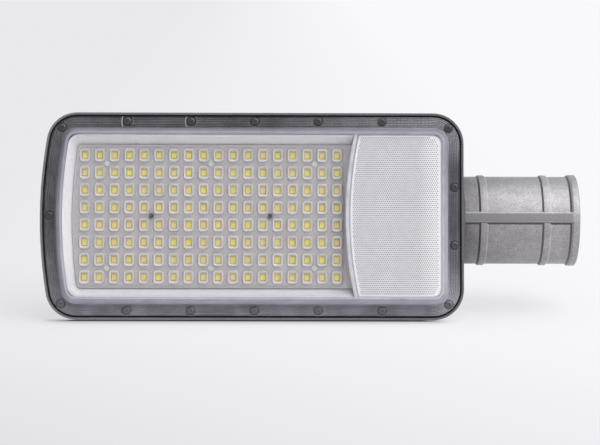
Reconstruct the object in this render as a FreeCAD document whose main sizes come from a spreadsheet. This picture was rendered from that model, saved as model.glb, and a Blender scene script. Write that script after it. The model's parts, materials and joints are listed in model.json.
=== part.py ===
import FreeCAD, Part
import math
import os

import Sketcher
from FreeCAD import Rotation, Vector

# LED street light head. Millimetres, +Z up, the light faces down (-Z).
# The origin is the centre of the spigot's mouth, and the pole's axis is X.

SIZES = {
    # housing outline, seen from below
    "bodyLength": 331, "bodyWidth": 162, "spigotReach": 93, "rimDrop": 46,
    "cornerRadius": 24, "noseRadius": 366, "railHeight": 16, "railFillet": 3.5,
    # rim, seat and bays of the housing
    "lipWidth": 1.6, "seatDepth": 5, "bayInset": 16.5, "bayStep": 2, "boxInset": 19.5,
    "backInset": 13, "backStep": 3, "roofHeight": 40, "roofWall": 4.5, "roofFillet": 9,
    "bulgeInset": 15, "bulgeRun": 14, "bulgeFrontWall": 5, "bulgeCorner": 14, "bury": 1,
    # cooling fins on the back
    "finPitch": 8.6, "finThickness": 2.6, "finSideGap": 6, "finNoseGap": 22, "finNoseHeight": 8,
    "finTailHeight": 38, "finToe": 5, "finCrest": 14,
    # bump of the housing in front of the spigot
    "bumpWidth": 50, "bumpRise": 1.4, "bumpHeight": 7, "bumpTop": 1,
    # clear cover and its gasket
    "flangeGap": 3.1, "flangeThickness": 3, "gasketThickness": 1, "windowInset": 12.2,
    "windowHeight": 9, "windowRun": 3.2, "coverWall": 2, "windowFillet": 1.2,
    "ridgeWidth": 3, "ridgeHeight": 7, "ridgeRadius": 300, "ridgeGap": 17.8,
    "gasketInset": 12.5, "gasketGap": 0.2,
    # cover screws, and the clearances round every screw
    "screwInset": 7, "sideScrewFirst": 64, "sideScrewLast": 67.8, "sideScrewCount": 5,
    "tailScrewSpread": 45.4, "screwThread": 4, "screwLength": 11, "headWidth": 6.6, "headHeight": 1.7,
    "recessWidth": 8.2, "recessDepth": 1.2, "driveSlot": 0.9, "driveDepth": 0.9, "driveSpan": 0.6,
    "tapClearance": 0.1, "passClearance": 0.4, "sealClearance": 0.8, "tapEnd": 0.5,
    # light board, light sources and lenses
    "boardInset": 24.8, "boardThickness": 1.6, "padThickness": 0.5, "boardCorner": 3, "boardGap": 3,
    "ledPitchX": 11.6, "ledPitchY": 13.65, "ledLength": 4, "ledWidth": 4.8, "ledHeight": 0.9,
    "lensInset": 26.2, "lensThickness": 1.5, "lensGap": 1.2, "cellLength": 8.2, "cellWidth": 10.8,
    "cellHeight": 2.6, "cellCorner": 1.6, "cellTailGap": 1.1, "cellNoseGap": 4.2, "cellSideGap": 1.5,
    "pocketGap": 0.4, "pinWidth": 4, "pinHeight": 1.1, "pinColumn": 1.5, "pinLine": 0.5,
    "boardScrewColumn": 4.5,
    "boardScrewHead": 4, "boardScrewThread": 2.5, "boardScrewLength": 6, "connectorLength": 5,
    "connectorWidth": 12, "connectorHeight": 4, "connectorInset": 35, "connectorEdge": 0.5,
    # white skirt round the light board
    "skirtInset": 17.6, "skirtWall": 1.5, "skirtHeight": 11.2, "skirtGap": 0.2,
    # white panel over the driver bay
    "panelInset": 17.4, "panelThickness": 1.5, "panelGap": 0.5, "panelSide": 1.5, "ridgeClearance": 0.3,
    "panelCorner": 7, "archHeight": 7.2, "archSide": 4,
    # spigot
    "boreDiameter": 61, "boreDepth": 86, "spigotWall": 4.5, "socketDepth": 10, "socketGap": 0.2,
    "collarRise": 1.5, "collarLength": 6, "collarFillet": 1.2, "ringRise": 1.1, "ringWidth": 4.4,
    "firstRing": 76, "secondRing": 26.2, "keelWidth": 7.3, "keelRise": 1.4,
    "sealThickness": 1.5, "wireHole": 34, "nutClearance": 1,
    # bolts of the spigot and clamp bolts for the pole
    "boltInset": 6.5, "boltThread": 5, "boltLength": 18, "boltHead": 8.5, "boltHeadHeight": 5,
    "boltClearance": 0.5, "washerWidth": 10, "washerThickness": 1,
    "clampFirst": 26.2, "clampPitch": 36, "clampThread": 8, "clampBoss": 19, "clampBossRise": 6,
    "clampStand": 7, "clampHead": 13, "clampHeadHeight": 5.3, "clampNutHeight": 4, "clampTipGap": 0.3,
    # driver, held to the roof by the ears of its end caps
    "driverDepth": 45, "driverHeight": 20, "driverWall": 1.5, "driverFrontGap": 1.5, "driverTailGap": 6,
    "driverEndGap": 2, "bossDrop": 3, "capThickness": 2.5, "earLength": 8, "earWidth": 12,
    "earThickness": 3, "bossWidth": 9, "roofThread": 4, "roofHead": 7, "roofHeadHeight": 2.4,
    "roofGrip": 5,
    # terminal block, surge arrester and earth point on the tail wall
    "terminalLength": 30, "terminalDepth": 18, "terminalHeight": 16, "arresterHeight": 20,
    "blockSideGap": 2.5, "blockDrop": 5, "earthDrop": 27, "lugThickness": 1, "lugWidth": 9,
    # cable gland
    "glandThread": 20, "glandHex": 25, "glandHexHeight": 6, "glandNeck": 16, "glandNeckLength": 8,
    "glandCapWidth": 22, "glandCapLength": 12, "glandBore": 10, "glandThreadLength": 16, "glandCapGap": 1,
    "lockNutWidth": 26, "lockNutHeight": 5,
    # vent plug
    "ventThread": 8, "ventCap": 15, "ventCapHeight": 5, "ventFromTail": 38,
    # leads inside
    "leadWidth": 2, "leadSpacing": 5, "leadBend": 4, "leadReach": 6, "leadDrop": 8,
    "lightLeadFromTail": 57, "supplyLeadFromTail": 50, "bendLevel": -30,
}

doc = FreeCAD.newDocument("LedStreetLight")
sheet = doc.addObject("Spreadsheet::Sheet", "Sizes")
for row, (word, size) in enumerate(SIZES.items(), start=1):
    sheet.set(f"A{row}", word)
    sheet.set(f"B{row}", str(size))
    sheet.setAlias(f"B{row}", word)
doc.recompute()


def sized(text):
    """Turn the sheet's words in a formula into references to the sheet."""
    parts = []
    word = ""
    for letter in text + " ":
        if letter.isalnum() or letter == "_":
            word += letter
            continue
        parts.append("Sizes." + word if word in SIZES else word)
        parts.append(letter)
        word = ""
    return "".join(parts).strip()


def number(text):
    """The value of a formula, with the sheet as it stands."""
    return float(sheet.evalExpression(sized(text)))


def bind(thing, name, text):
    thing.setExpression(name, sized(text))


# Levels and places that several pieces share, as formulas of the sheet's words.
TAIL = "(-spigotReach)"
NOSE = "(-spigotReach - bodyLength)"
HALF = "(bodyWidth / 2)"
RIM = "(-rimDrop)"
SEAT = f"({RIM} + seatDepth)"
BAY = f"({SEAT} + bayStep)"
RAIL = f"({RIM} + railHeight)"
BACK = f"({RAIL} - backStep)"
FLANGE_BACK = f"({SEAT} - gasketThickness)"
FLANGE_FACE = f"({FLANGE_BACK} - flangeThickness)"
WINDOW = f"({FLANGE_FACE} - windowHeight)"
WINDOW_INSIDE = f"({WINDOW} + coverWall)"
BOARD_BACK = f"({BAY} - padThickness)"
BOARD_FACE = f"({BOARD_BACK} - boardThickness)"
LENS_FACE = f"({BOARD_FACE} - lensThickness)"
PANEL_BACK = f"({WINDOW_INSIDE} + panelGap + panelThickness)"
BAY_TAIL = "(-spigotReach - boxInset)"
BAY_FRONT = f"({BAY_TAIL} - driverTailGap - driverDepth - driverFrontGap)"
ROOF = "(roofHeight - roofWall)"
BOARD_TAIL = f"({BAY_FRONT} - boardGap)"
RIDGE_FRONT = f"({BOARD_TAIL} - ridgeGap)"
LENS_TAIL = f"({RIDGE_FRONT} - lensGap)"
DRIVER_TOP = "(roofHeight - roofWall - bossDrop)"
SPIGOT = "(boreDiameter + 2 * spigotWall)"
CLAMP_FACE = f"({SPIGOT} / 2 + clampBossRise)"
CLAMPS = ("(-clampFirst)", "(-clampFirst - clampPitch)")
ROOT = "(-spigotReach - socketDepth + sealThickness)"
BOLT_FACE = f"({BAY_TAIL} - washerThickness)"

# The grid of light sources, from the tail to the nose and across, as many as the lens plate takes.
FIRST_X = f"({LENS_TAIL} - cellTailGap - cellLength / 2)"
LED_COLUMNS = f"(floor(({FIRST_X} - {NOSE} - lensInset - cellLength / 2 - cellNoseGap) / ledPitchX) + 1)"
LED_LINES = "(floor((bodyWidth - 2 * lensInset - cellWidth - 2 * cellSideGap) / ledPitchY) + 1)"
FIN_COUNT = "(floor((bodyWidth - 2 * backInset - 2 * finSideGap - finThickness) / finPitch) + 1)"


def grid_x(column):
    return f"({FIRST_X} - ({column}) * ledPitchX)"


def grid_y(line):
    return f"((({line}) - ({LED_LINES} - 1) / 2) * ledPitchY)"


# Screws and pins of the light board stand between the light sources.
MIDDLE_LINE = f"(floor({LED_LINES} / 2) - pinLine)"
BOARD_SCREWS = [(grid_x("boardScrewColumn"), grid_y(MIDDLE_LINE)),
                (grid_x(f"{LED_COLUMNS} - 1 - boardScrewColumn"), grid_y(MIDDLE_LINE))]
PIN_COLUMNS = ("pinColumn", f"floor({LED_COLUMNS} / 2) - pinLine", f"{LED_COLUMNS} - 1 - pinColumn")
PIN_LINES = ("pinLine", f"{LED_LINES} - 1 - pinLine")

# Screws of the driver's ears in the roof, and of the two blocks and the earth point in the tail wall.
DRIVER_LENGTH = "(bodyWidth - 2 * (boxInset + driverEndGap + earLength + capThickness))"
EAR_Y = f"({DRIVER_LENGTH} / 2 + capThickness + earLength / 2)"
DRIVER_X = f"({BAY_FRONT} + driverFrontGap + driverDepth / 2)"
ROOF_PLACES = [(DRIVER_X, f"(-{EAR_Y})"), (DRIVER_X, EAR_Y)]
BLOCK_Y = f"({HALF} - boxInset - blockSideGap - terminalLength / 2)"
WALL_PLACES = [(BLOCK_Y, "(-blockDrop)"), (f"(-{BLOCK_Y})", "(-blockDrop)"), ("0", "(-earthDrop)")]
CONNECTOR_Y = f"({HALF} - connectorInset)"
EIGHTH = "((boreDiameter - 2 * boltInset) / 8 ^ 0.5)"
BOLTS = [(EIGHTH, EIGHTH), (f"(-{EIGHTH})", EIGHTH), (f"(-{EIGHTH})", f"(-{EIGHTH})"),
         (EIGHTH, f"(-{EIGHTH})")]


def new_body(name):
    body = doc.addObject("PartDesign::Body", name)
    body.Label = name
    return body


def new_sketch(body, name, role="XY_Plane", offset="0"):
    sketch = body.newObject("Sketcher::SketchObject", name)
    plane = next(item for item in body.Origin.OriginFeatures if item.Role == role)
    sketch.AttachmentSupport = [(plane, "")]
    sketch.MapMode = "FlatFace"
    bind(sketch, "AttachmentOffset.Base.z", offset)
    return sketch


def hold(sketch, kind, *args):
    """Add a constraint whose last argument is a formula of the sheet's words."""
    index = sketch.addConstraint(Sketcher.Constraint(kind, *args[:-1], number(args[-1])))
    bind(sketch, f"Constraints[{index}]", args[-1])


def add_polygon(sketch, points):
    first = sketch.GeometryCount
    count = len(points)
    places = [Vector(number(x), number(y), 0) for x, y in points]
    for index in range(count):
        sketch.addGeometry(Part.LineSegment(places[index], places[(index + 1) % count]))
    for index, (x, y) in enumerate(points):
        following = first + (index + 1) % count
        sketch.addConstraint(Sketcher.Constraint("Coincident", first + index, 2, following, 1))
        hold(sketch, "DistanceX", -1, 1, first + index, 1, x)
        hold(sketch, "DistanceY", -1, 1, first + index, 1, y)


def add_rectangle(sketch, left, right, low, high):
    add_polygon(sketch, [(left, low), (right, low), (right, high), (left, high)])


def add_circle(sketch, x, y, diameter):
    centre = Vector(number(x), number(y), 0)
    index = sketch.addGeometry(Part.Circle(centre, Vector(0, 0, 1), number(diameter) / 2))
    hold(sketch, "Diameter", index, diameter)
    hold(sketch, "DistanceX", -1, 1, index, 3, x)
    hold(sketch, "DistanceY", -1, 1, index, 3, y)


def add_chain(sketch, pieces):
    """Add lines and arcs that run counter-clockwise, each tangent to the next."""
    first = sketch.addGeometry(pieces[0])
    for piece in pieces[1:]:
        sketch.addGeometry(piece)
    count = len(pieces)
    for index in range(count):
        following = first + (index + 1) % count
        sketch.addConstraint(Sketcher.Constraint("Tangent", first + index, 2, following, 1))
    return first


def arc(x, y, radius, start, end):
    circle = Part.Circle(Vector(x, y, 0), Vector(0, 0, 1), radius)
    return Part.ArcOfCircle(circle, start, end)


def add_outline(sketch, inset, corner, tail=None):
    """The housing's outline, moved in by inset: straight sides and tail, and a bowed nose."""
    tail = tail or f"({TAIL} - {inset})"
    side = f"({HALF} - {inset})"
    bow = f"(noseRadius - {inset})"
    tail_x, half, radius, big = number(tail), number(side), number(corner), number(bow)
    centre_x = number(NOSE) + number(inset) + big
    reach = half - radius
    nose_x = centre_x - math.sqrt((big - radius) ** 2 - reach ** 2)
    turn = math.pi - math.asin(reach / (big - radius))
    quarter = math.pi / 2
    first = add_chain(sketch, [
        Part.LineSegment(Vector(tail_x, -reach, 0), Vector(tail_x, reach, 0)),
        arc(tail_x - radius, reach, radius, 0, quarter),
        Part.LineSegment(Vector(tail_x - radius, half, 0), Vector(nose_x, half, 0)),
        arc(nose_x, reach, radius, quarter, turn),
        arc(centre_x, 0, big, turn, 2 * math.pi - turn),
        arc(nose_x, -reach, radius, 2 * math.pi - turn, 3 * quarter),
        Part.LineSegment(Vector(nose_x, -half, 0), Vector(tail_x - radius, -half, 0)),
        arc(tail_x - radius, -reach, radius, 3 * quarter, 4 * quarter),
    ])
    sketch.addConstraint(Sketcher.Constraint("Vertical", first))
    sketch.addConstraint(Sketcher.Constraint("Horizontal", first + 2))
    sketch.addConstraint(Sketcher.Constraint("Horizontal", first + 6))
    hold(sketch, "DistanceX", -1, 1, first, 1, tail)
    hold(sketch, "DistanceY", -1, 1, first + 2, 1, side)
    hold(sketch, "DistanceY", first + 6, 1, -1, 1, side)
    hold(sketch, "Radius", first + 1, corner)
    for index in (3, 5, 7):
        sketch.addConstraint(Sketcher.Constraint("Equal", first + 1, first + index))
    hold(sketch, "Radius", first + 4, bow)
    sketch.addConstraint(Sketcher.Constraint("PointOnObject", first + 4, 3, -1))
    hold(sketch, "DistanceX", -1, 1, first + 4, 3, f"({NOSE} + {inset} + {bow})")


def add_band(sketch, inner, outer, front, side):
    """A band bowed towards the nose, between two arcs about one centre on the X axis."""
    start = sketch.GeometryCount
    centre_x = number(front) + number(outer)
    half = number(side)
    ends = []
    for radius in (number(outer), number(inner)):
        turn = math.pi - math.asin(half / radius)
        sketch.addGeometry(arc(centre_x, 0, radius, turn, 2 * math.pi - turn))
        ends.append(Vector(centre_x + radius * math.cos(turn), half, 0))
    lower = [Vector(point.x, -point.y, 0) for point in ends]
    sketch.addGeometry(Part.LineSegment(ends[0], ends[1]))
    sketch.addGeometry(Part.LineSegment(lower[0], lower[1]))
    for arc_index, end, line, point in ((0, 1, 2, 1), (1, 1, 2, 2), (0, 2, 3, 1), (1, 2, 3, 2)):
        sketch.addConstraint(
            Sketcher.Constraint("Coincident", start + arc_index, end, start + line, point))
    hold(sketch, "Radius", start, outer)
    hold(sketch, "Radius", start + 1, inner)
    for index in (start, start + 1):
        sketch.addConstraint(Sketcher.Constraint("PointOnObject", index, 3, -1))
        hold(sketch, "DistanceX", -1, 1, index, 3, f"({front} + {outer})")
        hold(sketch, "DistanceY", -1, 1, index, 1, side)
        hold(sketch, "DistanceY", index, 2, -1, 1, side)


def pad(body, sketch, length, down=False, both=False, taper=None):
    feature = body.newObject("PartDesign::Pad", sketch.Name + "Pad")
    feature.Profile = sketch
    feature.Reversed = down
    feature.Midplane = both
    bind(feature, "Length", length)
    if taper:
        bind(feature, "TaperAngle", taper)
    sketch.Visibility = False
    return feature


def pocket(body, sketch, length, up=False, both=False, taper=None):
    """Cut a sketch into its body, and make sure that it took something away."""
    doc.recompute()
    before = body.Shape.Volume
    feature = body.newObject("PartDesign::Pocket", sketch.Name + "Pocket")
    feature.Profile = sketch
    feature.Reversed = up
    feature.Midplane = both
    bind(feature, "Length", length)
    if taper:
        bind(feature, "TaperAngle", taper)
    doc.recompute()
    for item in doc.Objects:
        if "Invalid" in item.State or "Error" in item.State:
            raise RuntimeError(f"{item.Name} failed: {item.getStatusString()}")
    if before - feature.Shape.Volume < 1e-3:
        raise RuntimeError(f"{feature.Name} cuts nothing")
    return feature


def fillet(body, base, radius, wanted):
    """Round the edges of a feature whose middle passes a test."""
    doc.recompute()
    names = []
    for index, edge in enumerate(base.Shape.Edges, start=1):
        middle = edge.valueAt((edge.FirstParameter + edge.LastParameter) / 2)
        if wanted(middle, edge):
            names.append(f"Edge{index}")
    feature = body.newObject("PartDesign::Fillet", base.Name + "Round")
    feature.Base = (base, names)
    bind(feature, "Radius", radius)
    doc.recompute()
    return feature


AXES = {
    "Z": Rotation(),
    "-Z": Rotation(Vector(1, 0, 0), 180),
    "X": Rotation(Vector(0, 1, 0), 90),
    "-X": Rotation(Vector(0, 1, 0), -90),
    "-Y": Rotation(Vector(1, 0, 0), 90),
}


def place(thing, x, y, z, axis="Z"):
    thing.Placement = FreeCAD.Placement(Vector(), AXES[axis])
    for letter, text in zip("xyz", (x, y, z)):
        bind(thing, f".Placement.Base.{letter}", text)
    return thing


def cylinder(name, diameter, height, x, y, z, axis="Z"):
    thing = doc.addObject("Part::Cylinder", name)
    bind(thing, "Radius", f"({diameter}) / 2")
    bind(thing, "Height", height)
    return place(thing, x, y, z, axis)


def hexagon(name, across, height, x, y, z, axis="Z"):
    """A hexagonal prism, by its width across the flats."""
    thing = doc.addObject("Part::Prism", name)
    thing.Polygon = 6
    bind(thing, "Circumradius", f"({across}) / 3 ^ 0.5")
    bind(thing, "Height", height)
    return place(thing, x, y, z, axis)


def box(name, length, width, height, x, y, z):
    """A block whose x is its low end, y its middle and z its low face."""
    thing = doc.addObject("Part::Box", name)
    bind(thing, "Length", length)
    bind(thing, "Width", width)
    bind(thing, "Height", height)
    return place(thing, x, f"({y}) - ({width}) / 2", z)


def fuse(name, *things):
    joined = doc.addObject("Part::MultiFuse", name)
    joined.Shapes = list(things)
    joined.Refine = True
    joined.Label = name
    return joined


def cut(name, base, *tools):
    if len(tools) > 1:
        tool = doc.addObject("Part::MultiFuse", name + "Tools")
        tool.Shapes = list(tools)
    else:
        tool = tools[0]
    result = doc.addObject("Part::Cut", name)
    result.Base = base
    result.Tool = tool
    result.Label = name
    return result


def group(name, shapes):
    """One node that holds separate solids."""
    doc.recompute()
    thing = doc.addObject("Part::Feature", name)
    thing.Label = name
    thing.Shape = Part.makeCompound(shapes)
    return thing


def copies(name, original, places):
    """The same solid at each of the places, which are vectors from the original."""
    doc.recompute()
    shapes = []
    for offset in places:
        shape = original.Shape.copy()
        shape.translate(offset)
        shapes.append(shape)
    return group(name, shapes)


def screw_places():
    """Formulas for the cover screws: long sides, nose, tail and the four corners."""
    places = []
    side = f"({HALF} - screwInset)"
    pitch = "((bodyLength - sideScrewFirst - sideScrewLast) / (sideScrewCount - 1))"
    for index in range(int(number("sideScrewCount"))):
        x = f"({TAIL} - sideScrewFirst - {index} * {pitch})"
        places += [(x, f"(-{side})"), (x, side)]
    places.append((f"({NOSE} + screwInset)", "0"))
    tail = f"({TAIL} - screwInset)"
    places += [(tail, "(-tailScrewSpread / 2)"), (tail, "(tailScrewSpread / 2)")]
    diagonal = "((cornerRadius - screwInset) * 0.5 ^ 0.5)"
    corner_y = f"({HALF} - cornerRadius + {diagonal})"
    shift = f"(noseRadius - sqrt((noseRadius - cornerRadius) ^ 2 - ({HALF} - cornerRadius) ^ 2))"
    for x in (f"({TAIL} - cornerRadius + {diagonal})", f"({NOSE} + {shift} - {diagonal})"):
        places += [(x, f"(-{corner_y})"), (x, corner_y)]
    return places


SCREWS = screw_places()
nodes = []


def keep(thing, name):
    thing.Label = name
    nodes.append((name, thing))
    return thing


def make_housing():
    body = new_body("housing")
    rail = new_sketch(body, "Rail", offset=RIM)
    add_outline(rail, "0", "cornerRadius")
    block = pad(body, rail, "railHeight")
    back = number(RAIL)
    fillet(body, block, "railFillet", lambda p, e: abs(p.z - back) < 0.1)

    bulge = new_sketch(body, "Bulge", offset=f"({RAIL} - bury)")
    front = f"({BAY_FRONT} - bulgeFrontWall - bulgeRun)"
    side = f"({HALF} - bulgeInset)"
    add_outline(bulge, "bulgeInset", "bulgeCorner", TAIL)
    pad(body, bulge, f"roofHeight - {RAIL} + bury")
    slope = new_sketch(body, "Slope", "XZ_Plane")
    top = f"({front} + bulgeRun)"
    add_polygon(slope, [(front, RAIL), (top, "roofHeight"), (top, "roofHeight + bury"),
                        (f"({NOSE} - bury)", "roofHeight + bury"), (f"({NOSE} - bury)", RAIL)])
    sloped = pocket(body, slope, "bodyWidth", both=True)

    tail_x, roof = number(TAIL), number("roofHeight")
    edge_y = number(side)
    fillet(body, sloped, "roofFillet", lambda p, e: abs(p.z - roof) < 0.1 or (
        abs(abs(p.y) - edge_y) < 0.1 and p.z > number(RAIL) + 1 and p.x < number(top)))

    recess = new_sketch(body, "BackRecess", offset=RAIL)
    add_outline(recess, "backInset", "(cornerRadius - backInset)", front)
    pocket(body, recess, "backStep")

    fin = new_sketch(body, "Fin", "XZ_Plane", f"({FIN_COUNT} - 1) * finPitch / 2")
    foot = f"({BACK} - bury)"
    start = f"({NOSE} + finNoseGap)"
    lean = f"(bulgeRun * (finTailHeight - railHeight + backStep) / (roofHeight - {RAIL}))"
    add_polygon(fin, [(start, foot), (f"({front} + bury)", foot), (f"({front} + bury)", RAIL),
                      (f"({front} + bury + {lean})", f"({BACK} + finTailHeight)"),
                      (f"({front} - finCrest)", f"({BACK} + finTailHeight)"),
                      (f"({start} + finToe)", f"({BACK} + finNoseHeight)"),
                      (start, f"({BACK} + finNoseHeight - finToe)")])
    first_fin = pad(body, fin, "finThickness", both=True)
    doc.recompute()
    pattern = body.newObject("PartDesign::LinearPattern", "Fins")
    pattern.Originals = [first_fin]
    pattern.Direction = (fin, ["N_Axis"])
    pattern.Reversed = True
    bind(pattern, "Length", f"({FIN_COUNT} - 1) * finPitch")
    bind(pattern, "Occurrences", FIN_COUNT)
    body.Tip = pattern
    doc.recompute()

    bump = new_sketch(body, "Bump", offset=f"({RIM} + bumpTop)")
    half_bump, rise = number("bumpWidth / 2"), number("bumpRise")
    bend = (half_bump ** 2 + rise ** 2) / (2 * rise)
    turn = math.asin(half_bump / bend)
    bump.addGeometry(arc(tail_x + rise - bend, 0, bend, -turn, turn))
    bump.addGeometry(Part.LineSegment(Vector(tail_x, half_bump, 0), Vector(tail_x, -half_bump, 0)))
    bump.addConstraint(Sketcher.Constraint("Coincident", 0, 2, 1, 1))
    bump.addConstraint(Sketcher.Constraint("Coincident", 1, 2, 0, 1))
    bump.addConstraint(Sketcher.Constraint("Vertical", 1))
    bump.addConstraint(Sketcher.Constraint("PointOnObject", 0, 3, -1))
    hold(bump, "DistanceX", -1, 1, 1, 1, TAIL)
    hold(bump, "DistanceY", 1, 2, 1, 1, "bumpWidth")
    hold(bump, "Radius", 0, "(bumpWidth ^ 2 / 4 + bumpRise ^ 2) / (2 * bumpRise)")
    pad(body, bump, "bumpHeight")

    seat = new_sketch(body, "Seat", offset=RIM)
    add_outline(seat, "lipWidth", "(cornerRadius - lipWidth)")
    pocket(body, seat, "seatDepth", up=True)
    bay = new_sketch(body, "Bay", offset=SEAT)
    add_outline(bay, "bayInset", "(cornerRadius - bayInset)")
    pocket(body, bay, "bayStep", up=True)
    box_bay = new_sketch(body, "DriverBay", offset=BAY)
    bay_side = f"({HALF} - boxInset)"
    add_rectangle(box_bay, BAY_FRONT, BAY_TAIL, f"(-{bay_side})", bay_side)
    pocket(body, box_bay, f"{ROOF} - {BAY}", up=True)

    bosses = new_sketch(body, "RoofBosses", offset=ROOF)
    for x, y in ROOF_PLACES:
        add_circle(bosses, x, y, "bossWidth")
    pad(body, bosses, "bossDrop", down=True)
    taps = new_sketch(body, "RoofTaps", offset=DRIVER_TOP)
    for x, y in ROOF_PLACES:
        add_circle(taps, x, y, "roofThread + tapClearance")
    pocket(body, taps, "roofGrip + tapEnd", up=True)
    wall_taps = new_sketch(body, "WallTaps", "YZ_Plane", BAY_TAIL)
    for y, z in WALL_PLACES:
        add_circle(wall_taps, y, z, "roofThread + tapClearance")
    pocket(body, wall_taps, "roofGrip + tapEnd", up=True)

    holes = new_sketch(body, "CoverTaps", offset=SEAT)
    for x, y in SCREWS:
        add_circle(holes, x, y, "screwThread + tapClearance")
    pocket(body, holes, f"{FLANGE_FACE} + recessDepth + screwLength + tapEnd - {SEAT}", up=True)
    boards = new_sketch(body, "BoardTaps", offset=BAY)
    for x, y in BOARD_SCREWS:
        add_circle(boards, x, y, "boardScrewThread + tapClearance")
    pocket(body, boards, f"{LENS_FACE} + boardScrewLength + tapEnd - {BAY}", up=True)

    socket = new_sketch(body, "Socket", "YZ_Plane", TAIL)
    add_circle(socket, "0", "0", f"{SPIGOT} + 2 * socketGap")
    pocket(body, socket, "socketDepth")
    web = new_sketch(body, "Web", "YZ_Plane", f"({TAIL} - socketDepth)")
    add_circle(web, "0", "0", "glandThread + boltClearance")
    for y, z in BOLTS:
        add_circle(web, y, z, "boltThread + boltClearance")
    pocket(body, web, "boxInset - socketDepth")

    vent = new_sketch(body, "VentHole", "XZ_Plane", side)
    add_circle(vent, f"({TAIL} - ventFromTail)", "0", "ventThread + tapClearance")
    pocket(body, vent, "boxInset - bulgeInset")
    keep(body, "housing")


def make_cover():
    body = new_body("lens_cover")
    flange = new_sketch(body, "Flange", offset=FLANGE_BACK)
    add_outline(flange, "flangeGap", "(cornerRadius - flangeGap)")
    pad(body, flange, "flangeThickness", down=True)
    window = new_sketch(body, "Window", offset=FLANGE_FACE)
    add_outline(window, "windowInset", "(cornerRadius - windowInset)")
    lean = "atan(windowRun / windowHeight)"
    raised = pad(body, window, "windowHeight", down=True, taper=f"-{lean}")
    face = number(WINDOW)
    fillet(body, raised, "windowFillet", lambda p, e: abs(p.z - face) < 0.05)
    inner = "(windowInset + coverWall / cos(atan(windowRun / windowHeight))" \
        " - flangeThickness * windowRun / windowHeight)"
    cavity = new_sketch(body, "Cavity", offset=FLANGE_BACK)
    add_outline(cavity, inner, f"(cornerRadius - {inner})")
    pocket(body, cavity, "flangeThickness + windowHeight - coverWall", taper=f"-{lean}")
    ridge = new_sketch(body, "Ridge", offset=f"({WINDOW_INSIDE} - coverWall / 2)")
    reach = f"({HALF} - windowInset - windowRun - coverWall / 2)"
    add_band(ridge, "(ridgeRadius - ridgeWidth)", "ridgeRadius", RIDGE_FRONT, reach)
    pad(body, ridge, "ridgeHeight + coverWall / 2")
    recess = new_sketch(body, "ScrewRecesses", offset=FLANGE_FACE)
    holes = new_sketch(body, "ScrewHoles", offset=FLANGE_FACE)
    for x, y in SCREWS:
        add_circle(recess, x, y, "recessWidth")
        add_circle(holes, x, y, "screwThread + passClearance")
    pocket(body, recess, "recessDepth", up=True)
    pocket(body, holes, "flangeThickness", up=True)
    keep(body, "lens_cover")


def make_gasket():
    body = new_body("cover_gasket")
    ring = new_sketch(body, "Ring", offset=FLANGE_BACK)
    outer = "(lipWidth + gasketGap)"
    add_outline(ring, outer, f"(cornerRadius - {outer})")
    pad(body, ring, "gasketThickness")
    middle = new_sketch(body, "RingMiddle", offset=FLANGE_BACK)
    add_outline(middle, "gasketInset", "(cornerRadius - gasketInset)")
    for x, y in SCREWS:
        add_circle(middle, x, y, "screwThread + sealClearance")
    pocket(body, middle, "gasketThickness", up=True)
    keep(body, "cover_gasket")


def driven_screw(name, head, head_height, thread, length):
    """A screw at the origin: its head hangs below z = 0 and its thread stands above."""
    top = cylinder(name + "Head", head, head_height, "0", "0", "0", "-Z")
    shank = cylinder(name + "Shank", thread, length, "0", "0", "0")
    slots = []
    span = f"({head}) * driveSpan"
    for index, sides in enumerate(((span, "driveSlot"), ("driveSlot", span))):
        slots.append(box(f"{name}Slot{index}", sides[0], sides[1], "driveDepth",
                         f"-({sides[0]}) / 2", "0", f"-({head_height})"))
    screw = fuse(name + "Whole", top, shank)
    return cut(name + "Driven", screw, *slots)


def at(x, y, z):
    return Vector(number(x), number(y), number(z))


def make_fasteners():
    screw = driven_screw("CoverScrew", "headWidth", "headHeight", "screwThread", "screwLength")
    level = f"({FLANGE_FACE} + recessDepth)"
    keep(copies("cover_screws", screw, [at(x, y, level) for x, y in SCREWS]), "cover_screws")
    small = driven_screw("BoardScrew", "boardScrewHead", "boardScrewHead / 2", "boardScrewThread",
                         "boardScrewLength")
    keep(copies("board_screws", small, [at(x, y, LENS_FACE) for x, y in BOARD_SCREWS]),
         "board_screws")
    stack = {
        "driver_screws": ("earThickness", "Z", [at(x, y, f"{DRIVER_TOP} - earThickness")
                                                for x, y in ROOF_PLACES]),
        "block_screws": ("terminalDepth", "X", [at(f"{BAY_TAIL} - terminalDepth", y, z)
                                                for y, z in WALL_PLACES[:2]]),
        "earth_screw": ("lugThickness", "X", [at(f"{BAY_TAIL} - lugThickness", y, z)
                                              for y, z in WALL_PLACES[2:]]),
    }
    for name, (grip, axis, places) in stack.items():
        screw = driven_screw(name + "Pattern", "roofHead", "roofHeadHeight", "roofThread",
                             f"{grip} + roofGrip")
        screw.Placement = FreeCAD.Placement(Vector(), AXES[axis])
        keep(copies(name, screw, places), name)
    lug = cut("earth_lug", cylinder("Lug", "lugWidth", "lugThickness", f"{BAY_TAIL} - lugThickness",
                                    "0", "-earthDrop", "X"),
              cylinder("LugHole", "roofThread + tapClearance", "lugThickness",
                       f"{BAY_TAIL} - lugThickness", "0", "-earthDrop", "X"))
    keep(lug, "earth_lug")


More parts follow.
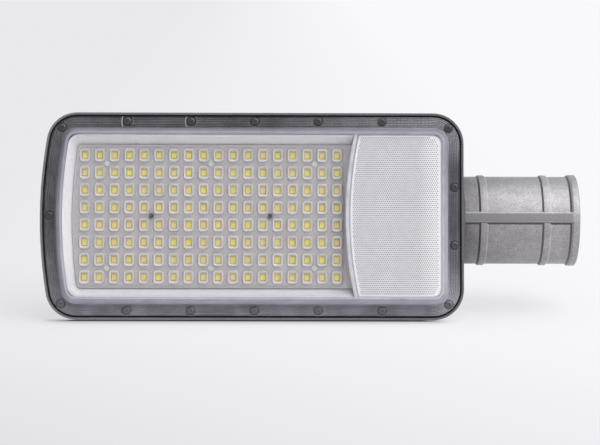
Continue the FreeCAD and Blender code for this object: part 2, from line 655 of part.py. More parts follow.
def make_light_engine():
    for name, level, thickness in (("thermal_pad", BAY, "padThickness"),
                                   ("led_board", BOARD_BACK, "boardThickness")):
        body = new_body(name)
        plate = new_sketch(body, name + "Plate", offset=level)
        add_outline(plate, "boardInset", "boardCorner", BOARD_TAIL)
        for x, y in BOARD_SCREWS:
            add_circle(plate, x, y, "boardScrewThread + passClearance")
        pad(body, plate, thickness, down=True)
        keep(body, name)

    places = [at(grid_x(column), grid_y(line), BOARD_FACE)
              for column in range(int(number(LED_COLUMNS))) for line in range(int(number(LED_LINES)))]
    chip = box("LedPackage", "ledLength", "ledWidth", "ledHeight", "-ledLength / 2", "0", "-ledHeight")
    keep(copies("led_packages", chip, places), "led_packages")

    blank = new_body("LensBlank")
    plate = new_sketch(blank, "LensOutline", offset=BOARD_FACE)
    add_outline(plate, "lensInset", "boardCorner", LENS_TAIL)
    for x, y in BOARD_SCREWS:
        add_circle(plate, x, y, "boardScrewThread + passClearance")
    pad(blank, plate, "lensThickness", down=True)
    cell = new_body("LensCell")
    rim = new_sketch(cell, "CellOutline", offset="-lensThickness")
    add_rounded(rim, "cellLength", "cellWidth", "cellCorner")
    pad(cell, rim, "cellHeight", down=True)
    wide = "(ledLength + 2 * pocketGap)"
    hollow = box("CellHollow", wide, "ledWidth + 2 * pocketGap", "ledHeight + pocketGap",
                 f"-{wide} / 2", "0", "-(ledHeight + pocketGap)")
    cells = copies("LensCells", cell, places)
    hollows = copies("LensHollows", hollow, places)
    lens = doc.addObject("Part::Feature", "lens_plate")
    lens.Shape = blank.Shape.fuse(cells.Shape.Solids).cut(hollows.Shape)
    keep(lens, "lens_plate")

    pin = cylinder("LensPin", "pinWidth", "pinHeight", "0", "0", "0", "-Z")
    pins = [at(grid_x(column), grid_y(line), LENS_FACE) for column in PIN_COLUMNS for line in PIN_LINES]
    keep(copies("lens_pins", pin, pins), "lens_pins")

    keep(box("board_connector", "connectorLength", "connectorWidth", "connectorHeight",
             f"{BOARD_TAIL} - connectorLength - connectorEdge", f"-{CONNECTOR_Y}",
             f"{BOARD_FACE} - connectorHeight"), "board_connector")


def add_rounded(sketch, length, width, corner):
    """A rounded rectangle about the sketch's origin."""
    radius = number(corner)
    half_x, half_y = number(length) / 2 - radius, number(width) / 2 - radius
    quarter = math.pi / 2
    pieces = []
    for index, (sign_x, sign_y) in enumerate(((1, 1), (-1, 1), (-1, -1), (1, -1))):
        centre = Vector(sign_x * half_x, sign_y * half_y, 0)
        pieces.append(arc(centre.x, centre.y, radius, index * quarter, (index + 1) * quarter))
        out = Vector(math.cos((index + 1) * quarter), math.sin((index + 1) * quarter), 0)
        along = Vector(-out.y, out.x, 0)
        leave = centre + out * radius
        span = 2 * (half_y if index % 2 else half_x)
        pieces.append(Part.LineSegment(leave, leave + along * span))
    first = add_chain(sketch, pieces)
    for index in (1, 5):
        sketch.addConstraint(Sketcher.Constraint("Horizontal", first + index))
    for index in (3, 7):
        sketch.addConstraint(Sketcher.Constraint("Vertical", first + index))
    hold(sketch, "Radius", first, corner)
    for index in (2, 4, 6):
        sketch.addConstraint(Sketcher.Constraint("Equal", first, first + index))
    hold(sketch, "DistanceY", -1, 1, first + 1, 1, f"({width}) / 2")
    hold(sketch, "DistanceY", first + 5, 1, -1, 1, f"({width}) / 2")
    hold(sketch, "DistanceX", first + 3, 1, -1, 1, f"({length}) / 2")
    hold(sketch, "DistanceX", -1, 1, first + 7, 1, f"({length}) / 2")


def add_bowed(sketch, front, bow, side, tail, corner):
    """A straight-sided region with a rounded tail, whose front is an arc bowed to the nose."""
    front_x, radius, half, tail_x, small = (number(text) for text in (front, bow, side, tail, corner))
    turn = math.pi - math.asin(half / radius)
    edge_x = front_x + radius * (1 + math.cos(turn))
    reach = half - small
    quarter = math.pi / 2
    first = sketch.GeometryCount
    for piece in (
        Part.LineSegment(Vector(tail_x, -reach, 0), Vector(tail_x, reach, 0)),
        arc(tail_x - small, reach, small, 0, quarter),
        Part.LineSegment(Vector(tail_x - small, half, 0), Vector(edge_x, half, 0)),
        arc(front_x + radius, 0, radius, turn, 2 * math.pi - turn),
        Part.LineSegment(Vector(edge_x, -half, 0), Vector(tail_x - small, -half, 0)),
        arc(tail_x - small, -reach, small, 3 * quarter, 4 * quarter),
    ):
        sketch.addGeometry(piece)
    for index, kind in enumerate(("Tangent", "Tangent", "Coincident", "Coincident", "Tangent", "Tangent")):
        following = first + (index + 1) % 6
        sketch.addConstraint(Sketcher.Constraint(kind, first + index, 2, following, 1))
    sketch.addConstraint(Sketcher.Constraint("Vertical", first))
    sketch.addConstraint(Sketcher.Constraint("Horizontal", first + 2))
    sketch.addConstraint(Sketcher.Constraint("Horizontal", first + 4))
    sketch.addConstraint(Sketcher.Constraint("Equal", first + 1, first + 5))
    sketch.addConstraint(Sketcher.Constraint("PointOnObject", first + 3, 3, -1))
    hold(sketch, "DistanceX", -1, 1, first, 1, tail)
    hold(sketch, "DistanceY", -1, 1, first + 2, 1, side)
    hold(sketch, "DistanceY", first + 4, 1, -1, 1, side)
    hold(sketch, "Radius", first + 1, corner)
    hold(sketch, "Radius", first + 3, bow)
    hold(sketch, "DistanceX", -1, 1, first + 3, 3, f"({front} + {bow})")


def make_skirt():
    body = new_body("reflector_skirt")
    edge = "(boardInset - skirtGap)"
    foot = "(boardInset - skirtGap - skirtWall)"
    lean = f"atan(({foot} - skirtInset) / skirtHeight)"
    outer = new_sketch(body, "SkirtOutside", offset=BAY)
    add_outline(outer, foot, "boardCorner")
    pad(body, outer, "skirtHeight", down=True, taper=lean)
    inner = new_sketch(body, "SkirtInside", offset=BAY)
    add_outline(inner, edge, "boardCorner")
    pocket(body, inner, "skirtHeight", taper=lean)
    tail = new_sketch(body, "SkirtEnd", offset=BAY)
    add_bowed(tail, f"({RIDGE_FRONT} - ridgeClearance)", "(ridgeRadius + ridgeClearance)", HALF, TAIL,
              "cornerRadius")
    pocket(body, tail, "skirtHeight")
    keep(body, "reflector_skirt")


def make_panel():
    body = new_body("driver_panel")
    front = f"({RIDGE_FRONT} + ridgeWidth + ridgeClearance)"
    bow = "(ridgeRadius - ridgeWidth - ridgeClearance)"
    side = f"({HALF} - panelInset)"
    tail = f"({TAIL} - panelInset)"
    tray = new_sketch(body, "Tray", offset=BAY)
    add_bowed(tray, front, bow, side, tail, "panelCorner")
    face = f"({WINDOW_INSIDE} + panelGap)"
    pad(body, tray, f"{BAY} - {face}", down=True)
    inside = new_sketch(body, "TrayInside", offset=BAY)
    add_bowed(inside, f"({front} + panelSide)", f"({bow} - panelSide)", f"({side} - panelSide)",
              f"({tail} - panelSide)", "(panelCorner - panelSide)")
    pocket(body, inside, f"{BAY} - {PANEL_BACK}")
    arch = new_sketch(body, "Arch", offset=BAY)
    half = f"({side} - panelSide - archSide)"
    add_rectangle(arch, f"({front} - bury)", f"({BOARD_TAIL} + archSide)", f"(-{half})", half)
    pocket(body, arch, "archHeight")
    keep(body, "driver_panel")


def make_spigot():
    body = new_body("spigot")
    rounds = (
        ("Tube", "0", SPIGOT, f"-{ROOT}"),
        ("Collar", "0", f"{SPIGOT} + 2 * collarRise", "collarLength"),
        ("FirstRing", "(-firstRing + ringWidth / 2)", f"{SPIGOT} + 2 * ringRise", "ringWidth"),
        ("SecondRing", "(-secondRing + ringWidth / 2)", f"{SPIGOT} + 2 * ringRise", "ringWidth"),
    )
    for name, x, diameter, length in rounds:
        sketch = new_sketch(body, name, "YZ_Plane", x)
        add_circle(sketch, "0", "0", diameter)
        last = pad(body, sketch, length, down=True)
        if name == "Collar":
            outside = number(f"{SPIGOT} / 2 + collarRise")
            fillet(body, last, "collarFillet", lambda p, e: abs(math.hypot(p.y, p.z) - outside) < 0.01)
    keel = new_sketch(body, "Keel", "YZ_Plane", "(-collarLength / 2)")
    add_rectangle(keel, "(-keelWidth / 2)", "(keelWidth / 2)", f"(-{SPIGOT} / 2 - keelRise)",
                  f"(-{SPIGOT} / 2 + bury)")
    pad(body, keel, "spigotReach - collarLength / 2 - ridgeClearance", down=True)
    boss = new_sketch(body, "ClampBosses", offset=CLAMP_FACE)
    for x in CLAMPS:
        add_circle(boss, x, "0", "clampBoss")
    pad(body, boss, "clampBossRise + spigotWall", down=True)
    bore = new_sketch(body, "Bore", "YZ_Plane", "0")
    add_circle(bore, "0", "0", "boreDiameter")
    pocket(body, bore, "boreDepth")
    wires = new_sketch(body, "WireHole", "YZ_Plane", "(-boreDepth)")
    add_circle(wires, "0", "0", "wireHole")
    pocket(body, wires, f"-boreDepth - {ROOT}")
    bolts = new_sketch(body, "BoltTaps", "YZ_Plane", ROOT)
    for y, z in BOLTS:
        add_circle(bolts, y, z, "boltThread + tapClearance")
    pocket(body, bolts, f"{BOLT_FACE} + boltLength + tapEnd - {ROOT}", up=True)
    taps = new_sketch(body, "ClampTaps", offset=CLAMP_FACE)
    for x in CLAMPS:
        add_circle(taps, x, "0", "clampThread + tapClearance")
    pocket(body, taps, CLAMP_FACE)
    keep(body, "spigot")

    seal_x = f"({ROOT} - sealThickness)"
    seal = cylinder("SealDisc", f"{SPIGOT} - 2 * socketGap", "sealThickness", seal_x, "0", "0", "X")
    holes = [cylinder("SealMiddle", "lockNutWidth / 3 ^ 0.5 * 2 + 2 * nutClearance", "sealThickness",
                      seal_x, "0", "0", "X")]
    for index, (y, z) in enumerate(BOLTS):
        holes.append(cylinder(f"SealHole{index}", "boltThread + boltClearance", "sealThickness",
                              seal_x, y, z, "X"))
    keep(cut("spigot_seal", seal, *holes), "spigot_seal")

    bolt_places = [at(BOLT_FACE, y, z) for y, z in BOLTS]
    bolt = socket_bolt("SpigotBolt", "boltHead", "boltHeadHeight", "boltThread", "boltLength")
    keep(copies("spigot_bolts", bolt, bolt_places), "spigot_bolts")
    washer = cut("WasherPattern", cylinder("Washer", "washerWidth", "washerThickness", "0", "0", "0", "X"),
                 cylinder("WasherHole", "boltThread + passClearance", "washerThickness", "0", "0", "0", "X"))
    keep(copies("spigot_washers", washer, bolt_places), "spigot_washers")

    clamp_places = [at(x, "0", CLAMP_FACE) for x in CLAMPS]
    nut = cut("ClampNutPattern", hexagon("ClampNut", "clampHead", "clampNutHeight", "0", "0", "0"),
              cylinder("ClampNutHole", "clampThread + tapClearance", "clampNutHeight", "0", "0", "0"))
    keep(copies("clamp_nuts", nut, clamp_places), "clamp_nuts")
    stem = "(spigotWall + clampBossRise - clampTipGap + clampStand)"
    shank = cylinder("ClampShank", "clampThread", stem, "0", "0", f"clampStand - {stem}")
    head = hexagon("ClampHead", "clampHead", "clampHeadHeight", "0", "0", "clampStand")
    clamp = fuse("ClampPattern", shank, head)
    keep(copies("clamp_bolts", clamp, clamp_places), "clamp_bolts")


def socket_bolt(name, head, head_height, thread, length):
    """A hexagon-socket bolt along X: its shank runs to +X from the origin."""
    whole = fuse(name + "Whole", cylinder(name + "Head", head, head_height, "0", "0", "0", "-X"),
                 cylinder(name + "Shank", thread, length, "0", "0", "0", "X"))
    key = hexagon(name + "Key", f"({head}) / 2", f"({head_height}) / 2", f"-({head_height})", "0", "0", "X")
    return cut(name + "Keyed", whole, key)


def make_driver():
    low = f"({DRIVER_TOP} - driverHeight)"
    front = f"({BAY_FRONT} + driverFrontGap)"
    shell = box("DriverShell", "driverDepth", DRIVER_LENGTH, "driverHeight", front, "0", low)
    core = ("driverDepth - 2 * driverWall", DRIVER_LENGTH, "driverHeight - 2 * driverWall",
            f"{front} + driverWall", "0", f"{low} + driverWall")
    keep(cut("driver_case", shell, box("DriverHollow", *core)), "driver_case")
    keep(box("driver_core", *core), "driver_core")
    caps = []
    for name, turn in (("Left", "-1"), ("Right", "1")):
        plate = box(f"Cap{name}", "driverDepth", "capThickness", "driverHeight", front,
                    f"{turn} * ({DRIVER_LENGTH} + capThickness) / 2", low)
        ear = box(f"Ear{name}", "earWidth", "earLength", "earThickness", f"{DRIVER_X} - earWidth / 2",
                  f"{turn} * {EAR_Y}", f"{DRIVER_TOP} - earThickness")
        hole = cylinder(f"EarHole{name}", "roofThread + passClearance", "earThickness", DRIVER_X,
                        f"{turn} * {EAR_Y}", f"{DRIVER_TOP} - earThickness")
        caps.append(cut(f"DriverCap{name}", fuse(f"Cap{name}Whole", plate, ear), hole))
    doc.recompute()
    keep(group("driver_end_caps", [cap.Shape.copy() for cap in caps]), "driver_end_caps")

    for name, height, (y, z) in (("terminal_block", "terminalHeight", WALL_PLACES[0]),
                                 ("surge_arrester", "arresterHeight", WALL_PLACES[1])):
        block = box(name + "Block", "terminalDepth", "terminalLength", height,
                    f"{BAY_TAIL} - terminalDepth", y, f"{z} - {height} / 2")
        hole = cylinder(name + "Hole", "roofThread + passClearance", "terminalDepth",
                        f"{BAY_TAIL} - terminalDepth", y, z, "X")
        keep(cut(name, block, hole), name)


def make_gland():
    flange = f"({BAY_TAIL} - glandHexHeight)"
    body = fuse("GlandSolid", hexagon("GlandHexagon", "glandHex", "glandHexHeight", flange, "0", "0", "X"),
                cylinder("GlandThread", "glandThread", "glandThreadLength", BAY_TAIL, "0", "0", "X"),
                cylinder("GlandNeck", "glandNeck", "glandNeckLength", flange, "0", "0", "-X"))
    through = cylinder("GlandThrough", "glandBore",
                       "glandHexHeight + glandThreadLength + glandNeckLength",
                       f"{flange} - glandNeckLength", "0", "0", "X")
    keep(cut("gland_body", body, through), "gland_body")
    cap_x = f"({flange} - glandCapGap)"
    cap = cylinder("GlandCapSolid", "glandCapWidth", "glandCapLength", cap_x, "0", "0", "-X")
    neck = cylinder("GlandCapSocket", "glandNeck + 2 * tapClearance", "glandNeckLength - glandCapGap",
                    cap_x, "0", "0", "-X")
    mouth = cylinder("GlandCapMouth", "glandBore", "glandCapLength", cap_x, "0", "0", "-X")
    keep(cut("gland_cap", cap, neck, mouth), "gland_cap")
    nut = hexagon("LockNutSolid", "lockNutWidth", "lockNutHeight", f"{TAIL} - socketDepth", "0", "0", "X")
    hole = cylinder("LockNutHole", "glandThread + tapClearance", "lockNutHeight",
                    f"{TAIL} - socketDepth", "0", "0", "X")
    keep(cut("gland_lock_nut", nut, hole), "gland_lock_nut")


def make_vent():
    side = f"({HALF} - bulgeInset)"
    x = f"({TAIL} - ventFromTail)"
    vent = fuse("VentWhole", cylinder("VentCap", "ventCap", "ventCapHeight", x, f"-{side}", "0", "-Y"),
                cylinder("VentStem", "ventThread", "boxInset - bulgeInset + ventCapHeight", x,
                         f"-{side} + boxInset - bulgeInset", "0", "-Y"))
    keep(vent, "vent_plug")


def lead(points):
    """A round lead along straight runs that are joined by tangent arcs."""
    bend, radius = number("leadBend"), number("leadWidth") / 2
    edges = []
    start = points[0]
    for corner, following in zip(points[1:-1], points[2:]):
        come = (corner - points[points.index(corner) - 1]).normalize()
        leave = (following - corner).normalize()
        turn = come.getAngle(leave)
        trim = bend * math.tan(turn / 2)
        first, last = corner - come * trim, corner + leave * trim
        inward = (leave - come).normalize()
        middle = corner + inward * (bend / math.cos(turn / 2) - bend)
        edges += [Part.LineSegment(start, first).toShape(), Part.Arc(first, middle, last).toShape()]
        start = last
    edges.append(Part.LineSegment(start, points[-1]).toShape())
    path = Part.Wire(edges)
    ring = Part.Circle(points[0], points[1] - points[0], radius).toShape()
    return path.makePipeShell([Part.Wire(ring)], True, True)


def make_leads():
    level = f"({DRIVER_TOP} - driverHeight / 2)"
    cap_y = f"({DRIVER_LENGTH} / 2 + capThickness)"
    plug_z = f"({BOARD_FACE} - connectorHeight / 2)"
    plug_x = f"({BOARD_TAIL} - connectorEdge)"
    light, supply = [], []
    for turn in (-1, 1):
        shift = f"({turn} * leadSpacing / 2)"
        x = f"({TAIL} - lightLeadFromTail + {shift})"
        y = f"(-{CONNECTOR_Y} + {shift})"
        out = f"(-{cap_y} - leadReach)"
        light.append(lead([at(x, f"-{cap_y}", level), at(x, out, level), at(x, out, "bendLevel"),
                           at(x, y, plug_z), at(plug_x, y, plug_z)]))
        x = f"({TAIL} - supplyLeadFromTail + {shift})"
        start = f"({BAY_TAIL} - terminalDepth)"
        z = f"(-blockDrop + {shift})"
        out = f"({cap_y} + leadReach)"
        block_y = f"({BLOCK_Y} - leadDrop)"
        supply.append(lead([at(start, block_y, z), at(x, block_y, z),
                            at(x, out, z), at(x, out, level), at(x, cap_y, level)]))
    keep(group("light_leads", light), "light_leads")
    keep(group("supply_leads", supply), "supply_leads")


def check(thing, shape):
    for item in doc.Objects:
        if "Invalid" in item.State or "Error" in item.State:
            raise RuntimeError(f"{item.Name} failed: {item.getStatusString()}")
    if shape.isNull() or not shape.isValid() or not shape.Solids:
        raise RuntimeError(f"{thing.Label} has no valid solid")


for make in (make_housing, make_cover, make_gasket, make_fasteners, make_light_engine, make_skirt,
             make_panel, make_spigot, make_driver, make_gland, make_vent, make_leads):
    make()
doc.recompute()

os.makedirs("parts", exist_ok=True)
for name, thing in nodes:
    check(thing, thing.Shape)
for name, thing in nodes:
    thing.Shape.exportStep(f"parts/{name}.step")
    print(name, len(thing.Shape.Solids), round(thing.Shape.Volume), thing.Shape.BoundBox)
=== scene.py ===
import json
import math

import bmesh
import bpy
from mathutils import Matrix, Vector


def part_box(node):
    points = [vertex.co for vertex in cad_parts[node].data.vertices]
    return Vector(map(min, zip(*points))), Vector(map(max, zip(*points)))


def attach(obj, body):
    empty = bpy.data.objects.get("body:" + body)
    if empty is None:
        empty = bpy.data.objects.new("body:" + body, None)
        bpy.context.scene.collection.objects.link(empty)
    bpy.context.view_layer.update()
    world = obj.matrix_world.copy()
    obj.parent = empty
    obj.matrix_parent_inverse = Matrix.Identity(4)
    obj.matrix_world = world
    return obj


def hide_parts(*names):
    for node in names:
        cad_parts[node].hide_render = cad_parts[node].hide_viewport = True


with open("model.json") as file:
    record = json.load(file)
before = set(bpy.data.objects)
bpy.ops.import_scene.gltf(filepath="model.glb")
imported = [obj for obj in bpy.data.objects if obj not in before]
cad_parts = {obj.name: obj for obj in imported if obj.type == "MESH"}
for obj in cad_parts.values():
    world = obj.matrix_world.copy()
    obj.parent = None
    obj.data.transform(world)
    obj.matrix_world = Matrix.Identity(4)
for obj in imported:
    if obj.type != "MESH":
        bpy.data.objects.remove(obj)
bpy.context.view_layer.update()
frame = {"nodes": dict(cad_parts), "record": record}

# An LED street light head, lying on its long side with its light towards the camera.
# Meshes are worked out in millimetres and written in metres.

MM = 0.001


def node_box(node):
    low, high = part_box(node)
    return low / MM, high / MM


housing_low, housing_high = node_box("housing")
cover_low, cover_high = node_box("lens_cover")
plate_low, plate_high = node_box("lens_plate")
chip_low, chip_high = node_box("led_packages")
screw_low, _ = node_box("cover_screws")
panel_low, panel_high = node_box("driver_panel")
_, board_high = node_box("led_board")
spigot_low, _ = node_box("spigot")

# Outline of the housing, seen from below: straight tail and sides, and a bowed nose.
FLANGE_GAP = 3.1
TAIL = cover_high.x + FLANGE_GAP
NOSE = housing_low.x
HALF = housing_high.y
CORNER = 24.0
NOSE_RADIUS = 366.0

# Clear cover: flange, tapered wall, window face and the ridge across it.
WINDOW_INSET = 12.2
WINDOW_RUN = 3.2
WINDOW_HEIGHT = 9.0
COVER_WALL = 2.0
FLANGE_THICKNESS = 3.0
WINDOW_FACE = cover_low.z
FLANGE_BACK = cover_high.z
FLANGE_FACE = FLANGE_BACK - FLANGE_THICKNESS
WINDOW_INSIDE = WINDOW_FACE + COVER_WALL
RIDGE_RADIUS = 300.0
RIDGE_WIDTH = 3.0
RIDGE_GAP = 0.3
RIDGE_DEPTH = 5.0
RIDGE_EASE = 0.5
RIDGE_FRONT = panel_low.x - RIDGE_WIDTH - RIDGE_GAP
PANEL_CORNER = 7.0
ARCH_HEIGHT = 7.2

# Cover screws: places along the flange, heads and the recesses round them.
SCREW_INSET = 7.0
SIDE_SCREW_FIRST = 64.0
SIDE_SCREW_PITCH = 49.8
SIDE_SCREWS = 5
TAIL_SCREW_SPREAD = 45.4
HEAD_WIDTH = 6.6
RECESS_WIDTH = 8.2
RECESS_DEPTH = 1.2
SCREW_HOLE = 4.4
CROSS_WIDTH = 0.9
CROSS_LENGTH = 3.8
CROSS_DEPTH = 0.5

# Light sources and their lenses, on one grid.
COLUMNS = 18
LINES = 8
PITCH_X = 11.6
PITCH_Y = 13.65
CELL_LENGTH = 8.2
CELL_WIDTH = 10.8
LENS_CORNER = 2.2
CHIP_LENGTH = 4.0
CHIP_WIDTH = 4.8
LENS_THICKNESS = 1.5
LENS_INSET = 26.2
BOARD_CORNER = 3.0
BOARD_FACE = plate_high.z
CELL_TOP = plate_low.z


def colour(text):
    """Linear colour of an sRGB hex value."""
    parts = [int(text[start:start + 2], 16) / 255 for start in (1, 3, 5)]
    return (*[v / 12.92 if v <= 0.04045 else ((v + 0.055) / 1.055) ** 2.4 for v in parts], 1.0)


def add(tree, kind, links=None, **settings):
    """Add a node with its settings; links gives inputs a plain value, a hex colour or a node's output."""
    node = tree.nodes.new(kind)
    for name, value in settings.items():
        setattr(node, name, value)
    for name, value in (links or {}).items():
        if isinstance(value, bpy.types.NodeSocket):
            tree.links.new(value, node.inputs[name])
        else:
            node.inputs[name].default_value = colour(value) if str(value).startswith("#") else value
    return node


# Materials


def new_material(name, shader, *values):
    """A material whose surface is what shader makes in its tree from the values."""
    made = bpy.data.materials.new(name)
    made.use_nodes = True
    tree = made.node_tree
    tree.nodes.clear()
    add(tree, "ShaderNodeOutputMaterial", {"Surface": shader(tree, *values).outputs[0]})
    return made


def mottled(tree, size, first, second, detail=3.0, most=1.0):
    """Two tones in grains about size millimetres wide: gives the tone, and the level of the grains."""
    point = add(tree, "ShaderNodeTexCoord").outputs["Object"]
    grain = add(tree, "ShaderNodeTexNoise", {"Vector": point, "Scale": 1 / (size * MM), "Detail": detail})
    share = add(tree, "ShaderNodeMapRange", {"Value": grain.outputs[0], "From Min": 0.35,
                                             "From Max": 0.65, "To Max": most})
    tone = add(tree, "ShaderNodeMix", {0: share.outputs[0], 6: first, 7: second}, data_type="RGBA")
    return tone.outputs[2], grain.outputs[0]


def along(tree, axis, start, end, first, second):
    """A tone that goes from first to second between two places in millimetres on an axis."""
    point = add(tree, "ShaderNodeTexCoord").outputs["Object"]
    place = add(tree, "ShaderNodeSeparateXYZ", {0: point}).outputs[axis]
    share = add(tree, "ShaderNodeMapRange", {"Value": place, "From Min": start * MM,
                                             "From Max": end * MM})
    tone = add(tree, "ShaderNodeMix", {0: share.outputs[0], 6: first, 7: second}, data_type="RGBA")
    return tone.outputs[2]


def plain_shader(tree, dark, light, metallic, roughness, grain, depth):
    """Two close tones in grains, with the grains' relief and gloss; a tone may be one that changes along."""
    dark, light = [along(tree, *tone) if isinstance(tone, tuple) else tone for tone in (dark, light)]
    tone, level = mottled(tree, grain, dark, light)
    gloss = add(tree, "ShaderNodeMapRange", {"Value": level, "From Min": 0.3, "From Max": 0.7,
                                             "To Min": roughness - 0.06, "To Max": roughness + 0.06})
    relief = add(tree, "ShaderNodeBump", {"Strength": 1.0, "Distance": depth * MM, "Height": level})
    return add(tree, "ShaderNodeBsdfPrincipled", {"Base Color": tone, "Metallic": metallic,
                                                  "Roughness": gloss.outputs[0],
                                                  "Normal": relief.outputs[0]})


# Name, darker and lighter colour, metallic, roughness, grain in mm and relief in mm of each plain finish.
PLAIN = {
    # Die-cast, then powder coated: dark grey with the fine orange peel of the coat, painted lighter at the
    # nose and darker at the tail as painted shade.
    "housing_paint": ("powder-coated die-cast aluminium", ("X", -420.0, -90.0, "#66676a", "#535457"),
                      ("X", -420.0, -90.0, "#77787b", "#616265"), 0.0, 0.42, 0.7, 0.05),
    # Moulded rubber: dark grey and dull.
    "black_rubber": ("moulded EPDM rubber", "#28282b", "#333337", 0.0, 0.65, 1.2, 0.04),
    # Zinc-plated steel, blackened: dark, with a dull metal gloss, painted lighter towards +Y, the floor's
    # side, as painted light.
    "screw_steel": ("blackened zinc-plated steel", ("Y", 10.0, 70.0, "#3c3c3f", "#57565b"),
                    ("Y", 10.0, 70.0, "#5e5e62", "#7a797e"), 0.9, 0.36, 0.5, 0.01),
    # Zinc-plated steel: pale bluish metal.
    "steel": ("zinc-plated steel", "#9a9ca0", "#b6b8bb", 1.0, 0.32, 0.6, 0.01),
    # Moulded PBT: white and satin, painted darker towards +Y as painted shade.
    "white_skirt": ("white moulded PBT", ("Y", 30.0, 66.0, "#ecebee", "#d4d3d7"),
                    ("Y", 30.0, 66.0, "#f5f4f6", "#dddce0"), 0.0, 0.38, 1.5, 0.01),
    # White solder mask on an aluminium board.
    "white_board": ("white solder mask", "#cecbce", "#d5d2d3", 0.0, 0.42, 2.0, 0.01),
    # Moulded nylon: milky white.
    "white_nylon": ("white moulded nylon", "#bec2bd", "#cfd2cd", 0.0, 0.45, 0.8, 0.01),
    # Silicone sheet: soft blue-grey.
    "thermal_sheet": ("silicone thermal sheet", "#6c727c", "#7b818b", 0.0, 0.7, 0.8, 0.03),
    # Extruded aluminium: pale with a soft metal gloss.
    "driver_aluminium": ("extruded aluminium", "#a3a4a6", "#b7b8ba", 1.0, 0.4, 0.8, 0.01),
    # Potting resin: dark and smooth.
    "potting": ("potting resin", "#242426", "#2e2e31", 0.0, 0.3, 1.5, 0.02),
    # Moulded nylon: black and satin.
    "black_nylon": ("black moulded nylon", "#1a1a1c", "#252527", 0.0, 0.45, 0.7, 0.02),
    # Moulded nylon: mid grey and satin.
    "grey_nylon": ("grey moulded nylon", "#85878b", "#93959a", 0.0, 0.45, 0.9, 0.02),
    # Plain brass: warm yellow metal.
    "brass": ("turned brass", "#b1904c", "#c9a860", 1.0, 0.32, 0.7, 0.01),
    # Silicone insulation: dull red.
    "lead_insulation": ("silicone lead insulation", "#8a2a22", "#9c352b", 0.0, 0.5, 0.6, 0.01),
    # White moulded polycarbonate with a fine satin grain.
    "white_panel": ("white moulded polycarbonate", "#f6f5f8", "#fbfafc", 0.0, 0.4, 0.8, 0.02),
}
finishes = {slot: new_material(name, plain_shader, *values) for slot, (name, *values) in PLAIN.items()}


def cast_shader(tree, dark, light):
    """Raw gravity-cast aluminium: a grey skin of sandy grains with darker patches, painted darker at its root
    by the housing as painted shade.
    """
    sand, level = mottled(tree, 0.7, dark, light, 4.0)
    streaks, _ = mottled(tree, 2.6, sand, "#77757a", 3.0, 0.18)
    skin_tone, _ = mottled(tree, 9.0, streaks, "#858386", 2.0, 0.3)
    # Painted shade: the skin darkens towards the root by the housing.
    painted_root_shade = add(tree, "ShaderNodeMix", {0: 0.3, 6: skin_tone, 7: "#5e5c5f"}, data_type="RGBA")
    tone = along(tree, "X", -85.0, -30.0, painted_root_shade.outputs[2], skin_tone)
    gloss = add(tree, "ShaderNodeMapRange", {"Value": level, "From Min": 0.3, "From Max": 0.7,
                                             "To Min": 0.36, "To Max": 0.52})
    relief = add(tree, "ShaderNodeBump", {"Strength": 1.0, "Distance": 0.36 * MM, "Height": level})
    return add(tree, "ShaderNodeBsdfPrincipled", {"Base Color": tone, "Metallic": 0.9,
                                                  "Roughness": gloss.outputs[0],
                                                  "Normal": relief.outputs[0]})


def flange_shader(tree, upper, lower, speck_share):
    """Ribbed clear polycarbonate on a black gasket: smoky grey with a fine dotted grain, painted lighter
    towards +Y as painted light.
    """
    point = add(tree, "ShaderNodeTexCoord").outputs["Object"]
    dots = add(tree, "ShaderNodeTexVoronoi", {"Vector": point, "Scale": 1 / (1.1 * MM), "Randomness": 0.25})
    # Painted light: darker towards -Y and lighter towards +Y, the floor's side.
    dark = along(tree, "Y", 10.0, 79.0, upper[0], lower[0])
    light = along(tree, "Y", 10.0, 79.0, upper[1], lower[1])
    tone, _ = mottled(tree, 14.0, dark, light, 2.0)
    glint = add(tree, "ShaderNodeMapRange", {"Value": dots.outputs["Distance"], "From Min": 0.1,
                                             "From Max": 0.6, "To Min": speck_share, "To Max": 0.0})
    speck = add(tree, "ShaderNodeMix", {0: glint.outputs[0], 6: tone, 7: "#a09fa6"}, data_type="RGBA")
    bright = add(tree, "ShaderNodeMapRange", {"Value": dots.outputs["Distance"], "From Min": 0.2,
                                              "From Max": 0.75, "To Min": 1.0, "To Max": 0.0})
    strong = add(tree, "ShaderNodeMix", {0: bright.outputs[0], 6: tone, 7: "#b4b3ba"}, data_type="RGBA")
    tail = along(tree, "X", -240.0, -120.0, speck.outputs[2], strong.outputs[2])
    upper_half = along(tree, "Y", -62.0, -40.0, tail, speck.outputs[2])
    corner = along(tree, "X", -122.0, -108.0, speck.outputs[2], strong.outputs[2])
    grained = along(tree, "Y", 40.0, 62.0, upper_half, corner)
    relief = add(tree, "ShaderNodeBump", {"Strength": 0.6, "Distance": 0.15 * MM,
                                          "Height": dots.outputs["Distance"]})
    return add(tree, "ShaderNodeBsdfPrincipled", {
        "Base Color": grained, "Normal": relief.outputs[0], "IOR": 1.58, "Roughness": 0.45,
        "Specular IOR Level": 0.25})


